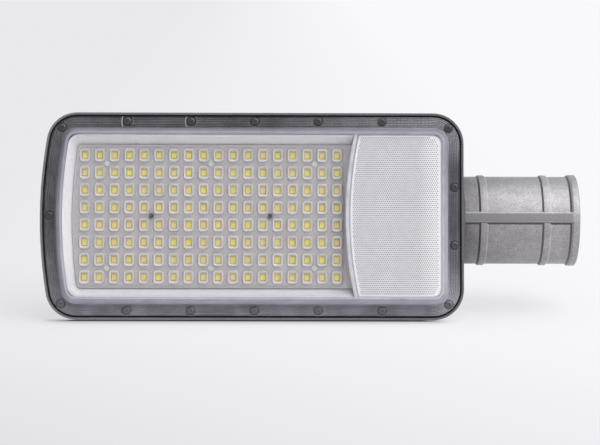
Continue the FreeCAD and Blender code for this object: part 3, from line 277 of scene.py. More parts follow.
def clear_shader(tree):
    """Clear moulded polycarbonate: nearly invisible face on, with a soft gloss that grows at a slant."""
    point = add(tree, "ShaderNodeTexCoord").outputs["Object"]
    cloud = add(tree, "ShaderNodeTexNoise", {"Vector": point, "Scale": 1 / (30.0 * MM), "Detail": 2.0})
    haze = add(tree, "ShaderNodeMapRange", {"Value": cloud.outputs[0], "From Min": 0.3, "From Max": 0.7,
                                            "To Min": 0.05, "To Max": 0.1})
    gloss = add(tree, "ShaderNodeBsdfGlossy", {"Color": "#ffffff", "Roughness": haze.outputs[0]})
    passed = add(tree, "ShaderNodeBsdfTransparent", {"Color": "#ffffff"})
    slant = add(tree, "ShaderNodeLayerWeight", {"Blend": 0.5}).outputs["Facing"]
    rise = add(tree, "ShaderNodeMath", {0: slant, 1: 5.0}, operation="POWER")
    share = add(tree, "ShaderNodeMapRange", {"Value": rise.outputs[0], "To Min": 0.03, "To Max": 1.0})
    return add(tree, "ShaderNodeMixShader", {0: share.outputs[0], 1: passed.outputs[0],
                                             2: gloss.outputs[0]})


def wall_shader(tree, dark, light, alpha):
    """Clear polycarbonate seen along its wall, where its thickness turns it to a violet grey, painted darker
    at -Y and lighter towards the middle and +Y as painted light.
    """
    # Painted light: darker at -Y, lighter from the middle on.
    tone, _ = mottled(tree, 12.0, along(tree, "Y", -75.0, 0.0, *dark),
                      along(tree, "Y", -75.0, 0.0, *light), 2.0)
    return add(tree, "ShaderNodeBsdfPrincipled", {"Base Color": tone, "IOR": 1.58, "Roughness": 0.16,
                                                  "Alpha": alpha})


def lens_shader(tree):
    """Clear moulded acrylic lenses: frosted rims, a yellow halo that is a painted reflection of the yellow
    phosphor, and a clear middle over the light source.
    """
    rim = add(tree, "ShaderNodeAttribute", attribute_name="rim").outputs["Fac"]
    halo = add(tree, "ShaderNodeAttribute", attribute_name="halo").outputs["Fac"]
    tint = add(tree, "ShaderNodeAttribute", attribute_name="tint").outputs["Fac"]
    edge = add(tree, "ShaderNodeMix", {0: tint, 6: "#e3dce1", 7: "#cfcbcd"}, data_type="RGBA")
    # The halo's yellow is a painted reflection of the phosphor.
    ring_tone = add(tree, "ShaderNodeMix", {0: tint, 6: "#ecdc84", 7: "#f8f0b4"}, data_type="RGBA")
    tone = add(tree, "ShaderNodeMix", {0: halo, 6: edge.outputs[2], 7: ring_tone.outputs[2]},
               data_type="RGBA")
    veil = add(tree, "ShaderNodeMapRange", {"Value": rim, "From Min": 0.1, "From Max": 0.85,
                                            "To Min": 0.04, "To Max": 0.78})
    return add(tree, "ShaderNodeBsdfPrincipled", {"Base Color": tone.outputs[2], "IOR": 1.49,
                                                  "Roughness": 0.25, "Alpha": veil.outputs[0]})


def chip_shader(tree):
    """LED packages: a yellow phosphor pad in an olive-brown moulded frame."""
    pad = add(tree, "ShaderNodeAttribute", attribute_name="rim").outputs["Fac"]
    tint = add(tree, "ShaderNodeAttribute", attribute_name="tint").outputs["Fac"]
    yellow = add(tree, "ShaderNodeMix", {0: tint, 6: "#fff64e", 7: "#fbe59c"}, data_type="RGBA")
    dusty, _ = mottled(tree, 0.5, yellow.outputs[2], "#fff9cf", most=0.25)
    tone = add(tree, "ShaderNodeMix", {0: pad, 6: dusty, 7: "#d0c27c"}, data_type="RGBA")
    return add(tree, "ShaderNodeBsdfPrincipled", {"Base Color": tone.outputs[2], "Roughness": 0.5})


def matt_shader(tree, size, dark, light):
    """A satin surface of two close tones in wide patches."""
    tone, level = mottled(tree, size, dark, light, 2.0)
    relief = add(tree, "ShaderNodeBump", {"Strength": 1.0, "Distance": 0.06 * MM, "Height": level})
    return add(tree, "ShaderNodeBsdfPrincipled", {"Base Color": tone, "Roughness": 0.45,
                                                  "Normal": relief.outputs[0]})


def field_shader(tree):
    """The dimpled field of the panel: a shade darker than its rim, which it meets softly at the tail, where
    it is painted lighter as painted light.
    """
    tone, _ = mottled(tree, 5.0, "#d6d5da", "#dad9de", 2.0)
    # Painted light: the field lightens to the rim's white towards the tail.
    lit = along(tree, "X", -128.0, -114.0, tone, "#f6f5f8")
    return add(tree, "ShaderNodeBsdfPrincipled", {"Base Color": lit, "Roughness": 0.45})


# The casting's skin; its flat keel, painted darker as painted shade; and flanks painted lighter on the side
# towards the light as painted highlight and darker on the side away as painted shade, which show each ring as
# a pair of lines.
finishes["cast_aluminium"] = new_material("raw cast aluminium", cast_shader, "#918f93", "#c8c6ca")
keel_shade_material = new_material("raw cast aluminium keel", cast_shader, "#79777b", "#9b999e")
flank_highlight_material = new_material("rubbed cast aluminium", cast_shader, "#b8b6ba", "#dad8dc")
flank_shade_material = new_material("dull cast aluminium", cast_shader, "#4e4d50", "#66656a")
finishes["lens_plastic"] = new_material("moulded acrylic lens", lens_shader)
finishes["phosphor"] = new_material("phosphor in its frame", chip_shader)
# The cover's flange lies on the gasket; the crests of its ribs are paler lines, a painted highlight. Both are
# painted lighter towards +Y as painted light.
flange_material = new_material("ribbed polycarbonate on its gasket", flange_shader,
                               ("#2c2b2f", "#3c3b3f"), ("#64636a", "#7e7d84"), 0.35)
crest_highlight_material = new_material("rib crests of the polycarbonate", flange_shader,
                              ("#4f4e53", "#69686e"), ("#7c7b82", "#95949c"), 0.45)
clear_material = new_material("clear polycarbonate", clear_shader)
wall_material = new_material("polycarbonate wall", wall_shader, ("#918f9c", "#bdbbc8"),
                             ("#9b99a6", "#c8c6d2"), 0.85)
# A paler, half-clear copy of the wall: a painted highlight on edges.
edge_highlight_material = new_material("polycarbonate edge", wall_shader, ("#bbb9c3", "#c6c4cd"),
                             ("#cbc9d2", "#d6d4dc"), 0.55)
ridge_material = new_material("polycarbonate rib", wall_shader, ("#d2d1d8", "#d2d1d8"),
                              ("#e6e4ea", "#e6e4ea"), 0.75)
# Clear acrylic foot on the white board: a mottled pale grey.
plate_material = new_material("acrylic plate on its board", matt_shader, 7.0, "#b0adb2", "#b7b4b5")
# The panel's dimpled field is a shade darker than its plain rim.
field_material = new_material("dimpled field of the panel", field_shader)
# The dimples are painted dark as painted shade.
dimple_shade_material = new_material("dimples of the panel", matt_shader, 5.0, "#7b7a81", "#89888f")
finishes["clear_cover"] = wall_material


# Meshes


def outline(inset, tail=None, corner=None, steps=10):
    """Points of the housing's outline, moved in by inset, counter-clockwise seen from above."""
    radius = CORNER - inset if corner is None else corner
    big = NOSE_RADIUS - inset
    half = HALF - inset
    tail_x = TAIL - inset if tail is None else tail
    centre_x = NOSE + NOSE_RADIUS
    reach = half - radius
    nose_x = centre_x - math.sqrt((big - radius) ** 2 - reach ** 2)
    turn = math.pi - math.asin(reach / (big - radius))
    quarter = math.pi / 2
    points = []
    for x, y, size, start, end, count in (
        (tail_x - radius, reach, radius, 0, quarter, steps),
        (nose_x, reach, radius, quarter, turn, steps),
        (centre_x, 0, big, turn, 2 * math.pi - turn, 4 * steps),
        (nose_x, -reach, radius, 2 * math.pi - turn, 3 * quarter, steps),
        (tail_x - radius, -reach, radius, 3 * quarter, 4 * quarter, steps),
    ):
        for index in range(count + 1):
            angle = start + (end - start) * index / count
            points.append((x + size * math.cos(angle), y + size * math.sin(angle)))
    return [p for p, q in zip(points, points[1:] + points[:1]) if math.dist(p, q) > 1e-6]


def rounded(length, width, corner, steps=2):
    """Points of a rounded rectangle about the origin."""
    points = []
    for index, (sign_x, sign_y) in enumerate(((1, 1), (-1, 1), (-1, -1), (1, -1))):
        for step in range(steps + 1):
            angle = (index + step / steps) * math.pi / 2
            points.append((sign_x * (length / 2 - corner) + corner * math.cos(angle),
                           sign_y * (width / 2 - corner) + corner * math.sin(angle)))
    return points


def ring(points, z):
    return [Vector((x, y, z)) for x, y in points]


def skin(mesh, rings, wrap=False, caps=(False, False), material=0):
    """Join closed rings of as many points each with faces, and close either end."""
    rows = [[mesh.verts.new(point) for point in row] for row in rings]
    count = len(rows[0])
    faces = []
    pairs = list(zip(rows, rows[1:] + rows[:1]))
    for low, high in pairs if wrap else pairs[:-1]:
        for index in range(count):
            following = (index + 1) % count
            faces.append(mesh.faces.new((low[index], low[following], high[following], high[index])))
    if caps[0]:
        faces.append(mesh.faces.new(rows[0][::-1]))
    if caps[1]:
        faces.append(mesh.faces.new(rows[-1]))
    for face in faces:
        face.material_index = material
    return rows, faces


def finished(name, mesh, materials, smooth=None):
    """Make an object in metres of a mesh in millimetres, with its faces turned outwards."""
    bmesh.ops.recalc_face_normals(mesh, faces=mesh.faces)
    bmesh.ops.transform(mesh, matrix=Matrix.Scale(MM, 4), verts=mesh.verts)
    data = bpy.data.meshes.new(name)
    mesh.to_mesh(data)
    mesh.free()
    for material in materials:
        data.materials.append(material)
    made = bpy.data.objects.new(name, data)
    bpy.context.scene.collection.objects.link(made)
    if smooth:
        data.shade_smooth()
        data.set_sharp_from_angle(angle=math.radians(smooth))
    return made


def baked(made):
    """Turn an object's modifiers into plain mesh."""
    shown = made.evaluated_get(bpy.context.evaluated_depsgraph_get())
    data = bpy.data.meshes.new_from_object(shown)
    made.modifiers.clear()
    made.data = data
    data.name = made.name
    return made


def cut_out(made, cutter):
    """Take the cutter's volume out of a piece."""
    modifier = made.modifiers.new("Cut", "BOOLEAN")
    modifier.object = cutter
    modifier.operation = "DIFFERENCE"
    modifier.solver = "EXACT"
    baked(made)
    bpy.data.objects.remove(cutter)
    return made


def dress(made, slot, *nodes):
    """A finished piece rides with the head and stands for the named nodes."""
    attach(made, "root")
    if nodes:
        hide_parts(*nodes)
    return made


# Geometry Nodes: one piece on every point, or on every crossing of a grid


def repeat_tree(name, grid):
    """A tree that puts a piece on points, turned and tinted at random, as solid mesh."""
    tree = bpy.data.node_groups.new(name, "GeometryNodeTree")
    sockets = [("Geometry", "Geometry"), ("Piece", "Object"), ("Finish", "Material"),
               ("Seed", "Int"), ("Turn", "Float")]
    if grid:
        sockets += [("Columns", "Int"), ("Lines", "Int"), ("Pitch X", "Float"), ("Pitch Y", "Float"),
                    ("First", "Vector")]
    for label, kind in sockets:
        tree.interface.new_socket(label, in_out="INPUT", socket_type=f"NodeSocket{kind}")
    tree.interface.new_socket("Geometry", in_out="OUTPUT", socket_type="NodeSocketGeometry")
    given = add(tree, "NodeGroupInput").outputs
    points = given["Geometry"]
    if grid:
        sizes = []
        for count, pitch in (("Columns", "Pitch X"), ("Lines", "Pitch Y")):
            steps = add(tree, "ShaderNodeMath", {0: given[count], 1: 1.0}, operation="SUBTRACT")
            sizes.append(add(tree, "ShaderNodeMath", {0: steps.outputs[0], 1: given[pitch]},
                             operation="MULTIPLY").outputs[0])
        lattice = add(tree, "GeometryNodeMeshGrid", {"Size X": sizes[0], "Size Y": sizes[1],
                                                     "Vertices X": given["Columns"],
                                                     "Vertices Y": given["Lines"]})
        size = add(tree, "ShaderNodeCombineXYZ", {"X": sizes[0], "Y": sizes[1]})
        half = add(tree, "ShaderNodeVectorMath", {0: size.outputs[0], "Scale": 0.5}, operation="SCALE")
        shift = add(tree, "ShaderNodeVectorMath", {0: half.outputs[0], 1: given["First"]},
                    operation="ADD")
        points = add(tree, "GeometryNodeTransform", {"Geometry": lattice.outputs["Mesh"],
                                                     "Translation": shift.outputs[0]}).outputs[0]
    piece = add(tree, "GeometryNodeObjectInfo", {"Object": given["Piece"]})
    angle = add(tree, "FunctionNodeRandomValue", {2: 0.0, 3: given["Turn"], "Seed": given["Seed"]})
    turned = add(tree, "ShaderNodeCombineXYZ", {"Z": angle.outputs[1]})
    placed = add(tree, "GeometryNodeInstanceOnPoints", {"Points": points,
                                                        "Instance": piece.outputs["Geometry"],
                                                        "Rotation": turned.outputs[0]})
    chance = add(tree, "FunctionNodeRandomValue", {2: 0.0, 3: 1.0, "Seed": given["Seed"]})
    tinted = add(tree, "GeometryNodeStoreNamedAttribute",
                 {"Geometry": placed.outputs[0], "Name": "tint", "Value": chance.outputs[1]},
                 data_type="FLOAT", domain="INSTANCE")
    real = add(tree, "GeometryNodeRealizeInstances", {"Geometry": tinted.outputs[0]})
    painted = add(tree, "GeometryNodeSetMaterial", {"Geometry": real.outputs[0],
                                                    "Material": given["Finish"]})
    add(tree, "NodeGroupOutput", {"Geometry": painted.outputs[0]})
    return tree


ON_POINTS = repeat_tree("Piece on every point", False)
ON_GRID = repeat_tree("Piece on every crossing", True)


def repeated(name, tree, places, inputs):
    """Run a tree on a mesh that has only points, and keep the plain mesh."""
    data = bpy.data.meshes.new(name)
    data.from_pydata([Vector(place) * MM for place in places], [], [])
    made = bpy.data.objects.new(name, data)
    bpy.context.scene.collection.objects.link(made)
    modifier = made.modifiers.new("Repeat", "NODES")
    modifier.node_group = tree
    for item in tree.interface.items_tree:
        if item.item_type == "SOCKET" and item.in_out == "INPUT" and item.name in inputs:
            modifier[item.identifier] = inputs[item.name]
    baked(made)
    bpy.data.objects.remove(inputs["Piece"])
    return made


def on_points(name, piece, finish, places, seed=1, turn=0.0):
    """Put a piece on every place, each turned by up to turn."""
    return repeated(name, ON_POINTS, places, {"Piece": piece, "Finish": finish, "Seed": seed, "Turn": turn})


# Cover: flange with fine ribs, tapered wall, window face and ridge


def screw_places():
    """Places of the cover screws: long sides, nose, tail and the four corners."""
    side = HALF - SCREW_INSET
    places = [(TAIL - SIDE_SCREW_FIRST - index * SIDE_SCREW_PITCH, turn * side)
              for index in range(SIDE_SCREWS) for turn in (-1, 1)]
    places.append((NOSE + SCREW_INSET, 0.0))
    places += [(TAIL - SCREW_INSET, turn * TAIL_SCREW_SPREAD / 2) for turn in (-1, 1)]
    diagonal = (CORNER - SCREW_INSET) / math.sqrt(2)
    shift = NOSE_RADIUS - math.sqrt((NOSE_RADIUS - CORNER) ** 2 - (HALF - CORNER) ** 2)
    for x in (TAIL - CORNER + diagonal, NOSE + shift - diagonal):
        places += [(x, turn * (HALF - CORNER + diagonal)) for turn in (-1, 1)]
    return places


SCREWS = screw_places()
RIB_COUNT = 6
RIB_RELIEF = 0.5
RIB_MARGIN = 0.6
FLANGE_INSIDE = WINDOW_INSET + 1.1


def make_flange():
    first = FLANGE_GAP + RIB_MARGIN
    pitch = (WINDOW_INSET - RIB_MARGIN - first) / RIB_COUNT
    profile = [(FLANGE_GAP, FLANGE_BACK), (FLANGE_GAP, FLANGE_FACE + 0.3),
               (FLANGE_GAP + 0.3, FLANGE_FACE)]
    for index in range(RIB_COUNT):
        start = first + index * pitch
        profile += [(start, FLANGE_FACE), (start + 0.2 * pitch, FLANGE_FACE + RIB_RELIEF),
                    (start + 0.5 * pitch, FLANGE_FACE + RIB_RELIEF), (start + 0.7 * pitch, FLANGE_FACE)]
    profile += [(WINDOW_INSET - 0.2, FLANGE_FACE), (FLANGE_INSIDE, FLANGE_FACE),
                (FLANGE_INSIDE, FLANGE_BACK)]
    rings = [ring(outline(inset), z) for inset, z in profile]
    mesh = bmesh.new()
    _, faces = skin(mesh, rings, wrap=True)
    # The faces in crests take the paler copy: a painted highlight.
    crests = [4 + 4 * index for index in range(RIB_COUNT)] + [6 + 4 * index for index in range(RIB_COUNT)]
    for index, face in enumerate(faces):
        face.material_index = int(index // len(rings[0]) in crests)
    flange = finished("cover_flange", mesh, [flange_material, crest_highlight_material])

    cutter = bmesh.new()
    spare = 1.0
    recess = FLANGE_FACE + RECESS_DEPTH
    for x, y in SCREWS:
        levels = ((RECESS_WIDTH, FLANGE_FACE - spare), (RECESS_WIDTH, recess), (SCREW_HOLE, recess),
                  (SCREW_HOLE, FLANGE_BACK + spare))
        rings = []
        for width, z in levels:
            rings.append([Vector((x + width / 2 * math.cos(turn), y + width / 2 * math.sin(turn), z))
                          for turn in (2 * math.pi * step / 24 for step in range(24))])
        skin(cutter, rings, caps=(True, True))
    cut_out(flange, finished("recesses", cutter, []))
    return dress(flange, "clear_cover", "lens_cover")


def arc_piece(inner, outer, low, high, start, end, material):
    """An arc of a moulded rim about the origin, between two turns in degrees."""
    steps = 14
    section = ((inner, low), (inner, high), (outer, high), (outer, low))
    mesh = bmesh.new()
    rings = []
    for step in range(steps + 1):
        turn = math.radians(start + (end - start) * step / steps)
        rings.append([Vector((r * math.cos(turn), r * math.sin(turn), z)) for r, z in section])
    skin(mesh, rings, caps=(True, True))
    return finished("arc", mesh, [material])


# Painted highlights at the screw recesses: a pale crescent inside each recess, and a long pale bend on either
# side of two.
CRESCENT_GAP = 0.02
CRESCENT_REACH = 0.45
CRESCENT_TURNS = (20, 150)
BEND_RADIUS = 9.0
BEND_WIDTH = 0.75
BEND_RISE = 0.15
LEFT_TURNS = (154, 205)
RIGHT_TURNS = (-22, 14)


def make_recess_highlights():
    """Painted highlights at the recesses: a faint crescent in each, and bends at two of the upper row."""
    radius = RECESS_WIDTH / 2
    floor = FLANGE_FACE + RECESS_DEPTH
    places = [(x, y, floor) for x, y in SCREWS]
    upper = [place for place in places if place[1] < 0 and place[0] < TAIL - SIDE_SCREW_FIRST]
    upper = sorted(upper)[1:3]
    crescent = arc_piece(radius - CRESCENT_REACH, radius - CRESCENT_GAP, -RECESS_DEPTH, 0.0,
                         *CRESCENT_TURNS, crest_highlight_material)
    dress(on_points("recess_crescents", crescent, crest_highlight_material, places), "clear_cover", "lens_cover")
    for name, side, turns, finish in (("left", 1, LEFT_TURNS, edge_highlight_material),
                                      ("right", -1, RIGHT_TURNS, crest_highlight_material)):
        arc = arc_piece(BEND_RADIUS, BEND_RADIUS + BEND_WIDTH, -RECESS_DEPTH - BEND_RISE, -RECESS_DEPTH,
                        *turns, finish)
        spots = [(x + side * (BEND_RADIUS - radius), y, z) for x, y, z in upper]
        dress(on_points(f"recess_edge_{name}", arc, finish, spots), "clear_cover", "lens_cover")


def make_window():
    """The clear window: wall, a rounding and a fine line in its border with a paler material as painted
    highlight, and its face.
    """
    slope = WINDOW_RUN / WINDOW_HEIGHT
    inner = WINDOW_INSET + COVER_WALL * math.sqrt(1 + slope ** 2) - FLANGE_THICKNESS * slope
    wall_end = WINDOW_FACE + 1.0
    walls = [(inner, FLANGE_BACK), (WINDOW_INSET, FLANGE_FACE),
             (WINDOW_INSET + slope * (FLANGE_FACE - wall_end), wall_end)]
    top = WINDOW_INSET + WINDOW_RUN
    rounding = [walls[-1], (top - 0.05, WINDOW_FACE + 0.55), (top + 0.3, WINDOW_FACE + 0.18),
                (top + 0.9, WINDOW_FACE)]
    line = [(top + 1.5, WINDOW_FACE), (top + 1.8, WINDOW_FACE)]
    border = [line[1], (top + 2.3, WINDOW_FACE)]
    inside = inner + slope * (FLANGE_BACK - WINDOW_INSIDE)
    mesh = bmesh.new()
    # Slot 2, on the rounding and the fine line, is the painted highlight.
    for rows, slot in ((walls, 1), (rounding, 2), ((rounding[-1], line[0]), 1), (line, 2), (border, 1)):
        skin(mesh, [ring(outline(inset), z) for inset, z in rows], material=slot)
    skin(mesh, [ring(outline(border[-1][0]), WINDOW_FACE)], caps=(False, True))
    skin(mesh, [ring(outline(inner), FLANGE_BACK), ring(outline(inside), WINDOW_INSIDE)], material=1)
    skin(mesh, [ring(outline(inside), WINDOW_INSIDE)], caps=(False, True))
    bmesh.ops.remove_doubles(mesh, verts=mesh.verts, dist=1e-4)
    window = finished("cover_window", mesh, [clear_material, wall_material, edge_highlight_material], smooth=25)
    return dress(window, "clear_cover", "lens_cover")


def make_ridge():
    """The rib across the cover, bowed to the nose."""
    side = HALF - WINDOW_INSET - WINDOW_RUN - COVER_WALL / 2
    centre_x = RIDGE_FRONT + RIDGE_RADIUS
    low = WINDOW_INSIDE + RIDGE_DEPTH
    crest = WINDOW_INSIDE - COVER_WALL / 2
    inner = RIDGE_RADIUS - RIDGE_WIDTH
    ease = RIDGE_EASE
    profile = [(RIDGE_RADIUS, low), (RIDGE_RADIUS, crest + ease), (RIDGE_RADIUS - ease, crest),
               (inner + ease, crest), (inner, crest + ease), (inner, low)]
    steps = 40
    turn = math.asin(side / RIDGE_RADIUS)
    rings = []
    for step in range(steps + 1):
        angle = math.pi - turn + 2 * turn * step / steps
        rings.append([Vector((centre_x + r * math.cos(angle), r * math.sin(angle), z))
                      for r, z in profile])
    mesh = bmesh.new()
    skin(mesh, rings, caps=(True, True))
    for face in mesh.faces:
        face.material_index = 0 if face.calc_center_median().z < crest + 0.3 else 1
    ridge = finished("cover_ridge", mesh, [ridge_material, wall_material])
    return dress(ridge, "clear_cover", "lens_cover")


def make_cover_screws():
    """Pan-head screws with a cross recess, each turned as it stopped."""
    seat = FLANGE_FACE + RECESS_DEPTH
    half = HEAD_WIDTH / 2
    crown = screw_low.z - seat
    profile = [(half, 0.0), (half, crown * 0.45), (half * 0.93, crown * 0.75), (half * 0.7, crown * 0.95),
               (half * 0.35, crown)]
    turns = [2 * math.pi * step / 20 for step in range(20)]
    mesh = bmesh.new()
    skin(mesh, [[Vector((r * math.cos(t), r * math.sin(t), z)) for t in turns] for r, z in profile],
         caps=(True, True))
    head = finished("head", mesh, [finishes["screw_steel"]])
    for width, length in ((CROSS_WIDTH, CROSS_LENGTH), (CROSS_LENGTH, CROSS_WIDTH)):
        tool = bmesh.new()
        skin(tool, [ring(rounded(length, width, 0.2), crown - CROSS_DEPTH),
                    ring(rounded(length * 0.8, width * 0.8, 0.2), crown + 0.9)], caps=(True, True))
        cut_out(head, finished("cross", tool, []))
    places = [(x, y, seat) for x, y in SCREWS]
    screws = on_points("cover_screw_heads", head, finishes["screw_steel"], places, 4, math.pi / 2)
    return dress(screws, "screw_steel", "cover_screws")


# Light board


def make_lens_cell():
    """One lens: a rounded block with a frosted rim and a shallow clear bowl in its crown."""
    foot = BOARD_FACE - LENS_THICKNESS
    rise = foot - CELL_TOP
    # Each row from foot to bowl: inset at the ends and sides, height, frosting and halo, the halo being a
    # painted reflection of the phosphor.
    rows = ((-0.9, -0.7, 0.0, 0.2, 0.0), (0.0, 0.0, rise * 0.35, 0.6, 0.0), (0.5, 0.5, rise, 0.9, 0.0),
            (1.1, 1.5, rise * 0.97, 0.95, 0.1), (1.5, 1.9, rise * 0.87, 0.6, 0.7),
            (1.85, 2.35, rise * 0.76, 0.45, 1.0), (2.1, 2.8, rise * 0.65, 0.1, 1.0))
    mesh = bmesh.new()
    layers = mesh.verts.layers.float
    layers.new("rim")
    layers.new("halo")
    rings = [ring(rounded(CELL_LENGTH - 2 * end, CELL_WIDTH - 2 * side, max(LENS_CORNER - end, 0.5)), -height)
             for end, side, height, _, _ in rows]
    made, _ = skin(mesh, rings, caps=(False, True))
    for row, (_, _, _, rim, halo) in zip(made, rows):
        for vertex in row:
            vertex[layers["rim"]] = rim
            vertex[layers["halo"]] = halo
    return finished("lens cell", mesh, [finishes["lens_plastic"]], smooth=40)


def on_grid(name, piece, finish, level, seed):
    """Put a piece on every place of the light sources, at a level."""
    first = chip_low + Vector((CHIP_LENGTH, CHIP_WIDTH, 0)) / 2
    return repeated(name, ON_GRID, [], {
        "Piece": piece, "Finish": finish, "Seed": seed, "Turn": 0.0, "Columns": COLUMNS, "Lines": LINES,
        "Pitch X": PITCH_X * MM, "Pitch Y": PITCH_Y * MM, "First": Vector((first.x, first.y, level)) * MM})


def make_lenses():
    foot = BOARD_FACE - LENS_THICKNESS
    lenses = on_grid("lens_cells", make_lens_cell(), finishes["lens_plastic"], foot, 11)
    dress(lenses, "lens_plastic", "lens_plate")

    mesh = bmesh.new()
    tail = plate_high.x
    edge = 0.3
    profile = [(LENS_INSET, BOARD_FACE), (LENS_INSET, foot + edge), (LENS_INSET + edge, foot)]
    rings = [ring(outline(inset, tail - (inset - LENS_INSET), BOARD_CORNER, steps=4), z)
             for inset, z in profile]
    skin(mesh, rings, caps=(False, True))
    plate = finished("lens_plate_foot", mesh, [plate_material])

    tool = bmesh.new()
    margin = 1.0
    opening = rounded(CELL_LENGTH - 2 * margin, CELL_WIDTH - 2 * margin, 0.5)
    skin(tool, [ring(opening, -LENS_THICKNESS), ring(opening, 2 * LENS_THICKNESS)], caps=(True, True))
    openings = on_grid("openings", finished("opening", tool, [plate_material]), plate_material, foot, 1)
    dress(cut_out(plate, openings), "lens_plastic", "lens_plate")


def make_chip():
    """One light source: a frame with a sunk phosphor pad."""
    height = chip_high.z - chip_low.z
    # Each row from the board up: inset, height and how much of the frame's colour it has.
    rows = ((0.0, 0.0, 1.0), (0.0, height * 0.85, 1.0), (0.08, height, 1.0), (0.2, height, 0.8),
            (0.3, height * 0.9, 0.0))
    mesh = bmesh.new()
    rim = mesh.verts.layers.float.new("rim")
    rings = [ring(rounded(CHIP_LENGTH - 2 * inset, CHIP_WIDTH - 2 * inset, 0.3, steps=1), -up)
             for inset, up, _ in rows]
    made, _ = skin(mesh, rings, caps=(True, True))
    for row, (_, _, value) in zip(made, rows):
        for vertex in row:
            vertex[rim] = value
    return finished("chip", mesh, [finishes["phosphor"]])


def make_chips():
    chips = on_grid("led_lights", make_chip(), finishes["phosphor"], BOARD_FACE, 23)
    return dress(chips, "phosphor", "led_packages")


def make_eased(name, node, ease, material):
    """A copy of a node whose sharp edges are eased, as a casting's are."""
    mesh = bmesh.new()
    mesh.from_mesh(frame["nodes"][node].data)
    bmesh.ops.scale(mesh, vec=(1 / MM, 1 / MM, 1 / MM), verts=mesh.verts)
    bmesh.ops.remove_doubles(mesh, verts=mesh.verts, dist=1e-3)
    bmesh.ops.dissolve_limit(mesh, angle_limit=math.radians(1), verts=mesh.verts, edges=mesh.edges)
    eased = finished(name, mesh, [material])
    modifier = eased.modifiers.new("Ease", "BEVEL")
    modifier.width = ease * MM
    modifier.segments = 2
    modifier.limit_method = "ANGLE"
    modifier.angle_limit = math.radians(40)
    baked(eased)
    eased.data.shade_smooth()
    eased.data.set_sharp_from_angle(angle=math.radians(22))
    return eased


# Spigot: rings and keel with sloped flanks, over the plain ones of the casting

RING_PLACES = (-76.0, -26.2)
RING_WIDTH = 4.4
RING_SLOPE = 1.5
TUBE_RADIUS = 35.0
RING_RISE = 1.15
KEEL_WIDTH = 7.3
KEEL_RISE = 1.45
SLEEVE_DEPTH = 1.5
COLLAR_STEP = ((-7.9, 0), (-7.3, 0.2), (-6.6, 1.1), (-6.0, 1.45), (-5.4, 0))
# Slots: the skin, a flank's painted shade, a flank's painted highlight, and the keel's face painted darker as
# shade.
SKIN, SHADE_FLANK, HIGHLIGHT_FLANK, KEEL = range(4)


def make_spigot_trim():
    """Rings and keel as cast: their flanks slope, so that one side of each catches the light; that side also
    has a painted highlight, and the other side painted shade.
    """
    mesh = bmesh.new()
    turns = [2 * math.pi * step / 96 for step in range(96)]
    bottom = TUBE_RADIUS - SLEEVE_DEPTH
    half = RING_WIDTH / 2
    shapes = [[(place - half - RING_SLOPE, 0), (place - half - 0.4, RING_RISE * 0.55),
               (place - half + 0.5, RING_RISE * 0.95), (place - half + 1.2, RING_RISE),
               (place + half - 1.2, RING_RISE), (place + half - 0.5, RING_RISE * 0.95),
               (place + half + 0.4, RING_RISE * 0.55), (place + half + RING_SLOPE, 0)]
              for place in RING_PLACES]
    shapes.append(COLLAR_STEP)
    for shape in shapes:
        profile = [(shape[0][0], bottom), *[(x, TUBE_RADIUS + rise) for x, rise in shape],
                   (shape[-1][0], bottom)]
        _, faces = skin(mesh, [[Vector((x, r * math.cos(t), r * math.sin(t))) for t in turns]
                               for x, r in profile], wrap=True)
        for index, face in enumerate(faces):
            row = index // len(turns)
            # The left flank of each ring and of the collar is painted shade, the right one a painted
            # highlight.
            face.material_index = SHADE_FLANK if row in (1, 2) else HIGHLIGHT_FLANK if row == len(profile) - 3 else SKIN
    crown = TUBE_RADIUS + KEEL_RISE
    half = KEEL_WIDTH / 2
    top = [(half + 0.3, crown - 0.35), (half - 0.4, crown - 0.04), (half - 1.2, crown)]
    section = [(half + 1.9, bottom), (half + 1.8, TUBE_RADIUS - 0.4), *top,
               *[(-y, depth) for y, depth in top[::-1]], (-half - 1.1, TUBE_RADIUS - 0.2),
               (-half - 1.2, bottom)]
    ends = (spigot_low.x + 9.0, -6.0)
    _, faces = skin(mesh, [[Vector((x, y, -depth)) for y, depth in section] for x in ends],
                    caps=(True, True))
    # The keel's flank towards +Y is painted shade, its face painted darker as shade, and its flank towards -Y
    # a painted highlight.
    for face, kind in zip(faces, (SHADE_FLANK, SHADE_FLANK, KEEL, KEEL, KEEL, KEEL, HIGHLIGHT_FLANK, HIGHLIGHT_FLANK, HIGHLIGHT_FLANK)):
        face.material_index = kind
    trim = finished("spigot_trim", mesh, [finishes["cast_aluminium"], flank_shade_material, flank_highlight_material,
                                          keel_shade_material], smooth=50)
    return dress(trim, "cast_aluminium")


# White panel: a tray with eased edges, and fine dimples in staggered rows

DOT_PITCH = 1.6
DOT_WIDTH = 1.0
DOT_MARGIN = 2.6
TAIL_MARGIN = 3.4
DOT_CORNER = 5.0
PANEL_EDGE = 1.3
PANEL_WALL = 1.5
ARCH_SIDE = 4.0
ARCH_REACH = 4.0
ARCH_FRONT = 1.0


def bowed(inset, steps=6):
    """Points of the panel's outline, moved in by inset: bowed to the nose, rounded at the tail."""
    bow = RIDGE_RADIUS - RIDGE_WIDTH - RIDGE_GAP
    centre_x = panel_low.x + bow
    side = panel_high.y - inset
    tail = panel_high.x - inset
    corner = PANEL_CORNER - inset
    turn = math.asin(side / (bow - inset))
    points = []
    for x, y, radius, start, end, count in (
        (tail - corner, side - corner, corner, 0, math.pi / 2, steps),
        (centre_x, 0, bow - inset, math.pi - turn, math.pi + turn, 6 * steps),
        (tail - corner, corner - side, corner, -math.pi / 2, 0, steps),
    ):
        for index in range(count + 1):
            angle = start + (end - start) * index / count
            points.append((x + radius * math.cos(angle), y + radius * math.sin(angle)))
    return points


